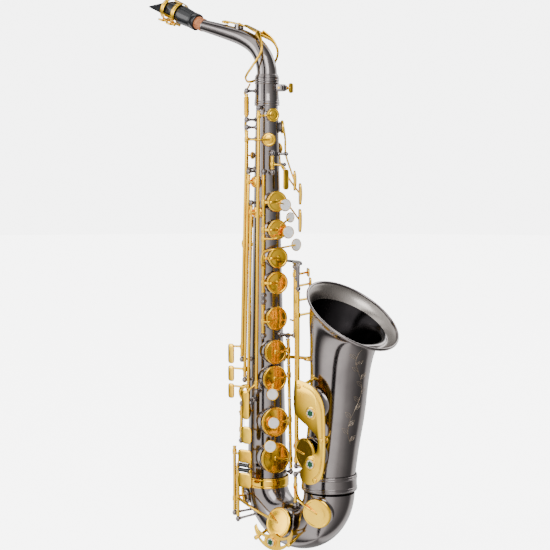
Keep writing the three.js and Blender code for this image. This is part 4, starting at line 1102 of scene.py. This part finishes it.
def make_side_keys():
    shut_key("high_f_sharp", "high_f_sharp").branch(
        515, [at(515.5, 50, 24.5), cup_top("high_f_sharp", 0.4)]).branch(
        198, [at(192, 82, 37), at(184, 92, 37)], 1.7).touch(at(172, 93, 37), RIGHT, 11, 35).finish()
    over = [at(487, 100, 29.5), at(487, 75, 30), at(487, 54, 25), cup_top("high_e", 0.4)]
    side_touch(shut_key("high_e", "high_e").branch(487, over, steps=40), 231, 24).finish()
    for name, rise, touch_z, height in (("side_c", 0.9, 207, 19), ("side_b_flat", 0.8, 186, 18)):
        key = shut_key(name, name).branch(HOLES[name][0], [cup_top(name, rise)], 2.2, steps=8)
        side_touch(key, touch_z, height).finish()
    shut_key("trill", "trill", "trill_f_sharp_key").branch(
        160, [at(160, 132, 33), cup_top("trill", 0.4)]).branch(
        140, [vec(-8, -37, 138), vec(-2, -38.5, 137)]).touch(vec(1, -39, 136), RIGHT, 16, 21).finish()
    shut_key("front_f").branch(458, [at(457, 14, 26), at(453, 3, 30)], barrel=5).touch(
        at(440, 2, 30.4), outward(2), 9, 24, 2.0, 0.9).finish()
    shut_key("g_sharp", "g_sharp").branch(272, [at(272, 45, 29.5), cup_top("g_sharp", 0.4)], 2.2).finish()


def palm_key(name, points, touch_at, facing, width, height):
    key = body_cup(Key(f"{name}_key"), name)
    key.arm([cup_top(name, 0.2), *points, touch_at], 1.4, 1.3, steps=44)
    z, degrees, radius = PALM_PIVOTS[name]
    aside = outward(degrees + 90) * 3.6
    key.metal.add(bar(at(z, degrees, radius) - aside, at(z, degrees, radius) + aside, 2.1, 24, ease=0.4))
    key.touch(touch_at, facing, width, height, 2.2, 1.6).finish()


def make_palm_keys():
    palm_key("palm_f", [at(487, -48, 22), at(470, -48, 22.6), at(452, -46, 28)], at(438, -44, 33),
             outward(-44), 10, 24)
    palm_key("palm_d", [at(466, -88, 22.5), at(457, -84, 23.2), at(438, -66, 31)], at(422, -48, 40),
             outward(-48), 11, 26)
    palm_key("palm_e_flat", [at(437, -120, 24), at(424, -112, 24), at(408, -80, 33)], at(390, -50, 40),
             outward(-50), 11, 28)


def make_octave_keys():
    key = Key("octave_lever").tube("octave_lever")
    key.branch(537, [at(543, 152, 27), vec(-24.2, -6, 549), vec(-24.2, -3, 553)], 1.5, barrel=0)
    ribs = [(2.1, 0)]
    for i in range(18):
        ribs += [(3.3, 0.3 + 1.2 * i), (3.3, 0.9 + 1.2 * i), (2.95, 1.05 + 1.2 * i), (2.95, 1.35 + 1.2 * i)]
    ribs += [(2.1, 21.9), (2.1, 0)]
    key.metal.add(lathe(ribs, frame_at(on_hinge("octave_lever", 515.6), UP), 40, 0))
    down = [at(503, 158, 27), at(480, 174, 29.5), at(440, 179, 30), at(410, 180, 29)]
    key.branch(517, down, 1.8, 1.5, steps=44, barrel=0)
    key.touch(at(402, 180, 29), outward(180), 13, 20, 2.4, 0.8).finish()
    shut_key("octave_vent", "octave").branch(
        468, [at(468, 155, 24.5), cup_top("octave", 0.4)], 1.5, 1.1, barrel=0).finish()


TABLE_FACING = vec(0.7, 0.7, 0).normalized()


def table_key(key, x, y, z, width, height, arm_x, arm_y, round_off=None):
    """A touch of the left hand's table and the arm that carries it round the tubes."""
    key.saddle(z).touch(vec(x, y, z), TABLE_FACING, width, height, 2.0, 0.7, round_off)
    return key.branch(z, [vec(arm_x, arm_y, z)], 1.4, 1.6, steps=14, barrel=0)


def bell_key(name, arm_z):
    point, normal = bell_seat(name, TONE_RIM + GAP)
    start = on_hinge(name, arm_z)
    top = point + normal * (CUP_THICK - 0.1)
    over = start.lerp(top, 0.45) + vec(0, -8.5, 0)
    key = shut_key(name).saddle(arm_z, 8)

    def lift(part):
        return swung(part, start, UP, -7)

    key.cup(point, normal, BELL_KEYS[name][2], lift)
    return key.arm([start, over, top], 1.9, 1.5, lift)


def make_low_keys():
    key = Key("g_sharp_lever").tube("g_sharp_lever")
    key.branch(270, [vec(38, 8, 271), at(272, -24, 29)], 1.6, barrel=0)
    table_key(key, 36, 34, 328, 22, 10, 35, 35).finish()
    key = Key("low_c_sharp_lever").tube("low_c_sharp_lever").saddle(108)
    key.branch(106, [vec(55, -3, 106), vec(63, -4, 106)], 1.6, barrel=0)
    table_key(key, 39.5, 33.5, 315, 15, 14, 41, 33, 3).finish()
    table_key(bell_key("low_b", 132), 49, 32, 299, 15, 14, 50.5, 31, 3).finish()
    table_key(bell_key("low_b_flat", 188), 52, 29, 282, 15, 16, 53.5, 28, 3).finish()
    point, normal, _ = bow_seat("low_c_sharp", TONE_RIM + GAP)
    top = point + normal * (CUP_THICK - 0.2)
    key = shut_key("low_c_sharp").saddle(80)
    key.cup(point, normal, BOW_KEYS["low_c_sharp"][2]).branch(
        80, [vec(76, -36, 73), vec(91, -41, 65), top], 2.4, 1.4, barrel=0).finish()


TOUCH_Y = -43
ROLLERS = {"e_flat_roller": 100.4, "low_c_roller": 94.4}


def roller_point(x, name):
    return vec(x, TOUCH_Y, ROLLERS[name])


def roller_ears(key, name, side):
    for x0, x1 in ((-9.8, -7.6), (9.6, 11.8)):
        middle = roller_point((x0 + x1) / 2, name)
        key.metal.add(bar(roller_point(x0, name), roller_point(x1, name), 2.2, 24, ease=0.4))
        key.metal.add(sweep([middle, middle + vec(0, 1, 9 * side)], 1, steps=4, smooth=False))


def make_little_finger_keys():
    point, normal, _ = bow_seat("low_e_flat", TONE_RIM + GAP)
    key = shut_key("low_e_flat").saddle(56).saddle(113)
    key.cup(point, normal, BOW_KEYS["low_e_flat"][2]).branch(
        56, [vec(-25, -25, 56.5), point + normal * (CUP_THICK - 0.3)], 2.0, 1.6, barrel=0)
    key.touch(vec(1, TOUCH_Y + 1, 111), RIGHT, 21, 16, 1.8, 0.7, 5)
    key.branch(113, [vec(-14, -41, 113), vec(-6, -41.5, 113)], 2.0, 1.5, barrel=0)
    roller_ears(key, "e_flat_roller", 1)
    key.finish()
    point, normal, _ = bow_seat("low_c", TONE_RIM + GAP)
    pivot = on_hinge("low_c", 50)

    def lift(part):
        return swung(part, pivot, UP, -4)

    key = shut_key("low_c").saddle(58).saddle(84)
    key.cup(point, normal, BOW_KEYS["low_c"][2], lift).branch(
        58, [vec(18, -42, 50), point + normal * (CUP_THICK - 0.2)], 2.3, 1.7, lift, steps=36, barrel=0)
    key.touch(vec(1, TOUCH_Y + 1, 82), RIGHT, 21, 18, 1.8, 0.7, 6)
    key.branch(84, [vec(-6, -41, 84)], 2.0, 1.5, steps=10, barrel=0)
    roller_ears(key, "low_c_roller", -1)
    key.finish()
    for name in ROLLERS:
        turned_rod = [(0, 0), (0.8, 0), (0.8, 2.4), (2.2, 2.4), (2.55, 3.2), (2.45, 10.5), (2.55, 18),
                      (2.2, 18.8),
                      (0.8, 18.8), (0.8, 21.2), (0, 21.2)]
        rod = lathe(turned_rod, frame_at(roller_point(-9.6, name), FRONT), 32)
        piece(f"{name}_turned", Shell().add(rod), EBONITE, name, body=name)


make_upper_stack()
make_lower_stack()
make_side_keys()
make_palm_keys()
make_octave_keys()
make_low_keys()
make_little_finger_keys()


# ------------------------------------------------------------------ neck and mouthpiece
MOUTHPIECE_RISE = 21.5
MOUTHPIECE_R = 11.4
MOUTHPIECE_START = 11.7
MOUTHPIECE_TIP = 91
MOUTHPIECE_TABLE = -7.6
BEAK_SLOPE, CHEEK_SLOPE = math.radians(27), math.radians(6)
TIP_HALF_WIDTH = 7.4
REED_HEEL, REED_HALF_WIDTH, REED_THICK, REED_VAMP = 43, 5.5, 1.5, 20.5
CORK_R = 8
LIGATURE_R = 12.8
LIGATURE_LOW, LIGATURE_HIGH = 42, 66
LIGATURE_RAIL = -14.2
LIGATURE_SCREWS = {"ligature_screw_back": 47, "ligature_screw_front": 61}
NECK_END = NECK_POINTS[-1]
BLOW = vec(-math.cos(math.radians(MOUTHPIECE_RISE)), 0, math.sin(math.radians(MOUTHPIECE_RISE)))
MOUTH_FRAME = frame_at(NECK_END, BLOW)


def local(part):
    """From the mouthpiece's own frame: +Z runs to its tip and +X to its top."""
    return moved(part, MOUTH_FRAME)


def make_neck():
    wall = tapered(NECK_R_BASE, NECK_R_TIP, NECK_LENGTH, 60)
    shell = Shell().add(bent(wall, NECK_LINE, NECK_LENGTH, 64, around=True))
    low = RECEIVER_TOP + GAP
    collar = [(10.9, 538), (11.9, 538), (11.9, low), (14.2, low), (14.5, low + 0.8), (14.2, low + 1.6),
              (13.3, low + 2),
              (13.4, low + 3.2), (12.6, low + 4), (12.2, low + 4), (10.9, low + 1), (10.9, 538)]
    shell.add(lathe(collar, None, 72))
    tenon = [(NECK_R_TIP - WALL, -1), (NECK_R_TIP + 0.02, -1), (NECK_R_TIP, 22), (NECK_R_TIP - WALL, 22),
             (NECK_R_TIP - WALL, -1)]
    shell.add(local(lathe(tenon, None, 48)))
    for side in (-1, 1):
        stand = vec(-44, 4 * side, 613)
        shell.add(plate(rounded(15, 6.4, 2.6), 2, frame_at(stand + vec(0, -1, 5), vec(0, 1, 0), UP)))
    vent = frame_at(vec(-66, 0, 618.6), vec(1, 0, 7))
    shell.add(lathe([(1.6, 0), (3.8, 6), (3, 6.6), (3, 7.07), (1.6, 7.07), (1.6, 0)], vent, 32, 0.15))
    piece("neck_tube", shell, NICKEL, "neck", body="neck")
    cork = [(NECK_R_TIP + GAP, 0.6), (CORK_R - 0.4, 0.6), (CORK_R, 1.4), (CORK_R, 20.7), (CORK_R - 0.4, 21.5),
            (NECK_R_TIP + GAP, 21.5), (NECK_R_TIP + GAP, 0.6)]
    piece("neck_cork_sleeve", Shell().add(local(lathe(cork, None, 64))), CORK, "neck_cork", body="neck")


def mouthpiece_section(way):
    """Half height above and below the axis and half width of the mouthpiece's outside at a distance."""
    start = MOUTHPIECE_START
    stops = [(start, 10), (start + 0.6, 10.5), (start + 5.2, 10.5), (start + 6.2, 10), (start + 9, 10.1),
             (37, MOUTHPIECE_R),
             (59, MOUTHPIECE_R), (MOUTHPIECE_TIP, 10.9)]
    radius = stops[-1][1]
    for (a, ra), (b, rb) in zip(stops, stops[1:]):
        if a <= way <= b:
            radius = ra + (rb - ra) * (way - a) / (b - a)
            break
    top = min(radius, MOUTHPIECE_TABLE + 1.5 + (MOUTHPIECE_TIP - way) * math.tan(BEAK_SLOPE))
    cheek = TIP_HALF_WIDTH + max(0, MOUTHPIECE_TIP - way) * math.tan(CHEEK_SLOPE)
    return radius, top, min(radius, cheek)


def make_mouthpiece():
    sides = 72
    loops = []
    start = MOUTHPIECE_START
    ways = [start, start + 0.3, start + 0.6, start + 5.2, start + 5.7, start + 6.2, start + 7, start + 9]
    ways += [start + 9 + (MOUTHPIECE_TIP - start - 9) * i / 50 for i in range(1, 51)]
    for way in ways:
        radius, top, wide = mouthpiece_section(way)
        low = -radius if way < 42 else max(-radius, MOUTHPIECE_TABLE)
        loop = []
        for c, s in circle(sides):
            x = radius * c
            y = math.copysign(min(abs(radius * s), wide), s)
            bulge = 0.8 * (1 - (y / max(wide, 0.1)) ** 2) if top < radius else 0
            x = max(low, min(x, top + bulge))
            loop.append(vec(x, y, way))
        loops.append(loop)
    mouth = [vec(MOUTHPIECE_TABLE + 0.9 + (p.x - MOUTHPIECE_TABLE) * 0.05, p.y * 0.72, MOUTHPIECE_TIP - 1)
             for p in loops[-1]]
    loops.append([p.lerp(q, 0.25) + vec(0, 0, 0.1) for p, q in zip(loops[-1], mouth)])
    loops.append(mouth)
    inner = [[vec(r * c, r * s, way) for c, s in circle(sides)]
             for r, way in ((6, 35), (CORK_R + GAP, 33), (CORK_R + GAP, start))]
    shell = Shell().add(local(skin(loops + inner, around=True)))
    shell.add(local(torus(Matrix.Translation((0, 0, start + 8)), 10.1, 0.35, 64)))
    piece("mouthpiece_body", shell, EBONITE, "mouthpiece", body="mouthpiece")
    reed = []
    end = MOUTHPIECE_TIP - 1.5
    half = REED_HALF_WIDTH
    top = MOUTHPIECE_TABLE - GAP
    for i in range(41):
        way = REED_HEEL + (end - REED_HEEL) * i / 40
        thick = REED_THICK - 1.25 * max(0, way - (end - REED_VAMP)) / REED_VAMP
        arc = [vec(top - thick * (0.55 + 0.45 * math.sqrt(max(0, 1 - (y / half) ** 2))), y, way)
               for y in (half - 2 * half * k / 12 for k in range(13))]
        reed.append([vec(top, -half, way), vec(top, half, way), *arc])
    piece("reed_cane", Shell().add(local(skin(reed))), CANE, "reed", body="mouthpiece")


def make_ligature():
    shell = Shell()
    inner = LIGATURE_R
    for low, high in ((LIGATURE_LOW, LIGATURE_LOW + 5.5), (LIGATURE_HIGH - 5.5, LIGATURE_HIGH)):
        middle = (low + high) / 2
        line = [(inner, low), (inner + 0.9, low), (inner + 0.9, middle - 0.9), (inner + 0.6, middle - 0.6),
                (inner + 0.6, middle + 0.6), (inner + 0.9, middle + 0.9), (inner + 0.9, high), (inner, high),
                (inner, low)]
        shell.add(local(lathe(line, None, 72, 0.2)))
    for degrees in (0, 118, -118):
        turn = math.radians(degrees)
        side = vec(math.cos(turn), math.sin(turn), 0)
        place = frame_at(side * (inner + 0.1) + UP * (LIGATURE_LOW + 12), side, UP)
        shell.add(local(plate(rounded(18, 4.2 if degrees else 7, 1.6), 0.7, place, 0.2)))
    for side in (-1, 1):
        start = vec(LIGATURE_RAIL, 4.4 * side, LIGATURE_LOW)
        for low, high in ((1, 9), (15, 23)):
            shell.add(local(bar(start + UP * low, start + UP * high, 1.9, 24, ease=0.6)))
    piece("ligature_band", shell, GOLD, "ligature", body="mouthpiece")
    for name, height in LIGATURE_SCREWS.items():
        screw = Shell().add(local(bar(vec(LIGATURE_RAIL, -9, height), vec(LIGATURE_RAIL, 9, height), 1)))
        neck = frame_at(vec(LIGATURE_RAIL, -6.6, height), RIGHT)
        screw.add(local(lathe([(0, 0), (2, 0), (2, 0.8), (1.3, 1.6), (1.3, 3), (0, 3)], neck, 24)))
        head = frame_at(vec(LIGATURE_RAIL - 0.9, -11.9, height), FRONT, UP)
        screw.add(local(plate(rounded(8.4, 5.4, 2.6), 1.8, head, 0.6, 0.35)))
        piece(f"{name}_turned", screw, GOLD, name, body=name)


def make_neck_octave_key():
    key = Key("neck_octave_key")
    stand = frame_at(vec(-66.2, 0, 626.8), vec(0.8, 0, 2.8))
    key.metal.add(lathe([(0, 0.9), (3.4, 0.9), (3.4, 0.2), (4.3, 0.2), (4.4, 0.6), (4.4, 2.2), (3.6, 2.9),
                         (0, 3.2)], stand, 40))
    key.pads.add(lathe([(0, 0), (2.6, 0), (3.3, 0.4), (3.3, 0.9), (0, 0.9)], stand, 40))
    key.arm([vec(-66.6, 0, 629.4), vec(-50, 0, 626.2), vec(-28, 0, 620.6)], 1.9, 1.3, side=vec(0, 0, 1))
    key.metal.add(bar(vec(-44, -2.6, 624.6), vec(-44, 2.6, 624.6), 2.2, 24, ease=0.4))
    outline = eased([(-8, -3), (2, -5.2), (12, -6.6), (18, -6.6), (18, 6.6), (12, 6.6), (2, 5.2), (-8, 3)],
                    2.5, True, 5)
    saddle = frame_at(vec(-27, 0, 619.6), vec(0.42, 0, 0.9), vec(0.9, 0, -0.42))
    key.metal.add(plate(outline, 1.7, saddle, 0.5, 0.6))
    for side in (-1, 1):
        legs = [vec(-12, 5 * side, 613.5), vec(0, 11 * side, 604), vec(4, 15.5 * side, 590),
                vec(-6, 18 * side, 575), vec(-20, 15 * side, 562), vec(-27, 5 * side, 556.5),
                vec(-28, 0, 556)]
        key.metal.add(sweep(legs, lambda t: 1.6 + 3 * max(0, 1 - t / 0.25), 1.2, 56, 14, vec(0, 1, 0)))
    key.finish()
    pin = Shell().add(bar(vec(-44, -5.4, 624.6), vec(-44, 5.4, 624.6), 0.9))
    piece("neck_octave_axle", pin, STEEL, body="neck")


# Needle springs: [hinge, whether its post is the upper one, reach along the hinge].
SPRINGS = (("high_f_sharp", False, 37.5), ("side_b_flat", False, 37.5), ("side_c", False, 37.5),
           ("high_e", False, 35.5), ("lower_stack", True, 31.5), ("lower_stack", False, 35.5),
           ("upper_stack", False, 31.5), ("upper_stack", True, 29.5), ("g_sharp", False, 27.5),
           ("trill", False, 25.5))


def make_springs():
    shell = Shell()
    for hinge, from_above, reach in SPRINGS:
        foot = above(hinge) if from_above else below(hinge)
        tip = foot - reach if from_above else foot + reach
        ends = []
        for z, near in ((foot, 2.6), (tip, 3.3)):
            point = on_hinge(hinge, z)
            ends.append(point - vec(point.x, point.y, 0).normalized() * near)
        bow = ends[0].lerp(ends[1], 0.5) - vec(ends[0].x, ends[0].y, 0).normalized() * 0.5
        shell.add(sweep([ends[0], bow, ends[1]], lambda t: 0.42 - 0.16 * t, None, 16, 8))
    piece("needle_springs", shell, BLUED, slot="steel")


# ------------------------------------------------------------------ guards, brace and hand pieces
GUARD_Y = -50
BUMPERS = ((109, 176), (109, 117))
GUARD_EDGE = ((84, 203), (88, 212), (100, 211), (112, 206.5), (122, 197.5), (127.5, 186), (129.3, 168),
              (129.3, 128),
              (125.4, 106), (117, 96), (105, 92.5), (96, 96), (92.5, 104), (97, 113), (103, 124), (112, 128),
              (118, 134), (118, 149), (104, 160), (90, 169), (84, 178))
GUARD_RIB = ((98, 206.5), (110, 202), (119, 193), (124, 182), (125.2, 166), (125.2, 130), (121.6, 109),
             (114, 100.5))


def felt_bumper(name, x, y, z, size=6.2):
    """A threaded gold ring with a white felt washer round a green felt disc."""
    place = frame_at(vec(x, y, z), RIGHT)
    ring = lathe([(size - 1, 0), (size, 0), (size, 1.8), (size - 0.4, 2.2), (size - 1, 2.2), (size - 1, 0)],
                 place, 48)
    piece(f"{name}_ring", Shell().add(ring), GOLD)
    white = lathe([(0, 0), (size - 1.2, 0), (size - 1.2, 1.5), (0, 1.5)], place, 48)
    piece(f"{name}_white", Shell().add(white), FELT_WHITE, slot="felt")
    petals = [(r * math.cos(a), r * math.sin(a)) for a, r in
              ((2 * math.pi * k / 60, (size - 2) * (0.86 + 0.14 * math.cos(12 * math.pi * k / 60)))
               for k in range(60))]
    green = plate(petals, 0.7, place @ Matrix.Translation((0, 0, 1.4)), 0.2, 0.2)
    piece(f"{name}_green", Shell().add(green), FELT_GREEN, slot="felt")


def make_bell_key_guard():
    flat = Matrix.Translation((0, GUARD_Y, 0)) @ Matrix(((1, 0, 0), (0, 0, -1), (0, 1, 0))).to_4x4()
    loop = [vec(x, z, 0) for x, z in GUARD_EDGE]
    eased_loop = spline([loop[-1], *loop, loop[0], loop[1]], 24 * 8)[8:-8]
    shell = Shell().add(plate([(p.x, p.y) for p in eased_loop[:-1]], 1.6, flat, 0.5))
    rib = spread(spline([vec(x, GUARD_Y - 1.7, z) for x, z in GUARD_RIB], 70), 60)[0]
    shell.add(sweep(rib, 0.9, 0.6, 60, 10, RIGHT, smooth=False))
    for x, z in BUMPERS:
        shell.add(lathe([(5, 0), (7.6, 0), (7.9, 0.6), (7.6, 1.7), (6.4, 2), (5, 2), (5, 0)],
                        frame_at(vec(x, GUARD_Y, z), RIGHT), 56))
        shell.add(bar(vec(x, GUARD_Y + 0.2, z), vec(x, GUARD_Y - 1, z), 5.6, 48))
    feet = ((124, 146, 114, 143), (91, 205, 98, 214), (115, 99, 106, 99.5))
    for x, z, toward_x, toward_z in feet:
        start = vec(x, GUARD_Y + 1, z)
        end = vec(toward_x, -30, toward_z)
        shell.add(sweep([start, start.lerp(end, 0.5) + vec(1.5, 0, 0), end], 1.9, 1.9, 16))
        knob = frame_at(vec(x, GUARD_Y - 0.8, z), RIGHT)
        shell.add(lathe([(0, 0), (2.9, 0), (2.9, 1.6), (2.2, 2.3), (0, 2.5)], knob, 28))
        shell.add(lathe([(0, 0), (4.6, 0), (4.2, 1.4), (2.4, 2.2), (0, 2.4)], frame_at(end, RIGHT), 32))
    piece("bell_key_guard_band", shell, GOLD, "bell_key_guard")
    for i, (x, z) in enumerate(BUMPERS):
        felt_bumper(f"bell_bumper_{i + 1}", x, GUARD_Y - 1.2, z)


def make_low_c_guard():
    flat = Matrix.Translation((0, -42, 0)) @ Matrix(((1, 0, 0), (0, 0, -1), (0, 1, 0))).to_4x4()
    outer = []
    inner = []
    for i in range(73):
        turn = math.radians(-172 + 166 * i / 72)
        sag = 1 - abs(math.degrees(turn) + 90) / 90
        outer.append(Vector((46 + 30 * math.cos(turn), 33 + 28.5 * math.sin(turn))))
        inner.append(Vector((47 + (28 - 5 * sag) * math.cos(turn), 36 + (26 - 15 * sag) * math.sin(turn))))
    shell = Shell()
    middle = [p.lerp(q, 0.5) for p, q in zip(outer, inner)]
    shell.add(strip(outer, [p.lerp(q, 0.3) for p, q in zip(outer, inner)], 1.6, flat))
    shell.add(strip([p.lerp(q, 0.72) for p, q in zip(outer, inner)], inner, 1.6, flat))
    for low, high in ((0, 14), (22, 46), (57, 73)):
        shell.add(strip([p.lerp(q, 0.28) for p, q in zip(outer[low:high], inner[low:high])],
                        [p.lerp(q, 0.74) for p, q in zip(outer[low:high], inner[low:high])], 1.6, flat))
    for x, z, toward_x, toward_z in ((20, 16, 24, 26), (70, 15, 68, 24)):
        shell.add(bar(vec(x, -42.2, z), vec(toward_x, -18, toward_z), 1.8, 24))
        shell.add(lathe([(0, 0), (2.9, 0), (2.9, 1.2), (2.2, 1.9), (0, 2.1)],
                        frame_at(vec(x, -43.4, z), RIGHT), 28))
    seat_place = vec(middle[33].x, -43.2, middle[33].y)
    shell.add(lathe([(0, 0), (7.2, 0), (7.5, 0.6), (7.2, 1.3), (0, 1.3)], frame_at(seat_place, RIGHT), 48))
    piece("low_c_guard_band", shell, GOLD, "low_c_guard")
    felt_bumper("low_c_bumper", seat_place.x, seat_place.y - 1.2, seat_place.z, 6)


def make_brace():
    z = 226
    shell = Shell()
    shell.add(torus(Matrix.Translation((52, 22, z)), 9, 1.8, 56, 1.2))
    shell.add(sweep([at(z, -46, body_r(z) + 1), vec(32, 20, z), vec(43.5, 21.5, z)], 2.4, 2.0, 20))
    shell.add(sweep([vec(60.5, 21.5, z), vec(72, 18, z), vec(80, 13.6, z)], 2.4, 2.0, 20))
    foot = [(0, 0), (6, 0), (6, 0.8), (4.4, 1.8), (2.8, 3.4), (0, 3.4)]
    shell.add(lathe(foot, frame_at(at(z, -46, body_r(z) + GAP), outward(-46)), 40))
    shell.add(lathe(foot, frame_at(vec(82.6, 12.4, z), vec(-5.5, 2, 0)), 40))
    piece("bell_brace_ring", shell, GOLD, "bell_brace")


def make_bracket():
    outline = [(9, 13), (33, 9), (43, -5), (60, -19), (66, -14), (50, 5), (36, 17), (13, 20)]
    shell = Shell().add(plate(eased(outline, 4, True, 4), 2.4, Matrix.Translation((0, 0, 341)), 0.5))
    for hinge in ("g_sharp_lever", "low_c_sharp_lever", "low_b", "low_b_flat"):
        end = on_hinge(hinge, above(hinge))
        top = vec(end.x, end.y, 342)
        shell.add(ball(end, POST_BALL_R))
        shell.add(sweep([top, end], lambda t: 2.2 - 0.6 * t, None, 6, smooth=False))
        shell.add(bar(end - UP * 3.2, end - UP * 2.2, 1.9))
    piece("bell_rod_bracket_plate", shell, NICKEL, "bell_rod_bracket")


def curved_plate(z, degrees, width, height, thick, radius):
    """A backing plate that hugs the body tube."""
    loops = []
    for share in (-1, -0.93, 0.93, 1):
        half = height / 2 * share
        inset = 0.5 if abs(share) == 1 else 0
        loop = []
        for k in range(17):
            turn = degrees + math.degrees(width / radius) * (k / 16 - 0.5)
            loop.append(at(z + half, turn, body_r(z + half) + GAP * 0.4))
        for k in reversed(range(17)):
            turn = degrees + math.degrees(width / radius) * (k / 16 - 0.5) * 0.96
            loop.append(at(z + half, turn, body_r(z + half) + thick - inset))
        loops.append(loop)
    return skin(loops)


def make_hand_pieces():
    z = STRAP.z
    ring = Matrix.Translation(STRAP) @ Matrix.Rotation(math.radians(90), 4, "X")
    shell = Shell().add(torus(ring, 6.5, 1.6, 56)).add(curved_plate(z, 180, 10, 30, 1.8, body_r(z)))
    shell.add(sweep([at(z, 180, body_r(z) + 0.6), at(z, 180, 26)], 2.6, 2.2, 6, smooth=False))
    piece("strap_ring_eyelet", shell, GOLD, "strap_ring")
    z = 186
    shell = Shell().add(curved_plate(z, 172, 13, 28, 2.4, body_r(z)))
    hook = [at(z, 172, body_r(z) + 0.6), at(z + 2, 172, 30), at(z - 1, 176, 38), at(z - 9, 181, 42),
            at(z - 17, 186, 40)]
    shell.add(sweep(hook, 2.6, lambda t: 2.6 + 1.4 * t, 40, 20, outward(90)))
    for shift in (-9.5, 9.5):
        head = frame_at(at(z + shift, 172, body_r(z) + 2), outward(172))
        shell.add(lathe([(0, 0), (2.2, 0), (2.2, 0.8), (1.5, 1.4), (0, 1.5)], head, 24))
    piece("thumb_hook_bent", shell, GOLD, "thumb_hook")
    z = 388
    rest = frame_at(at(z, 188, body_r(z) - 0.4), outward(188))
    line = [(0, 0), (9, 0), (9, 3.2), (8.2, 4.2), (7.2, 4.4), (6.4, 3.9), (0, 4.1)]
    piece("thumb_rest_disc", Shell().add(lathe(line, rest, 56)), GOLD, "thumb_rest")


make_neck()
make_mouthpiece()
make_ligature()
make_neck_octave_key()
make_engraving()
make_springs()
make_bell_key_guard()
make_low_c_guard()
make_brace()
make_bracket()
make_hand_pieces()
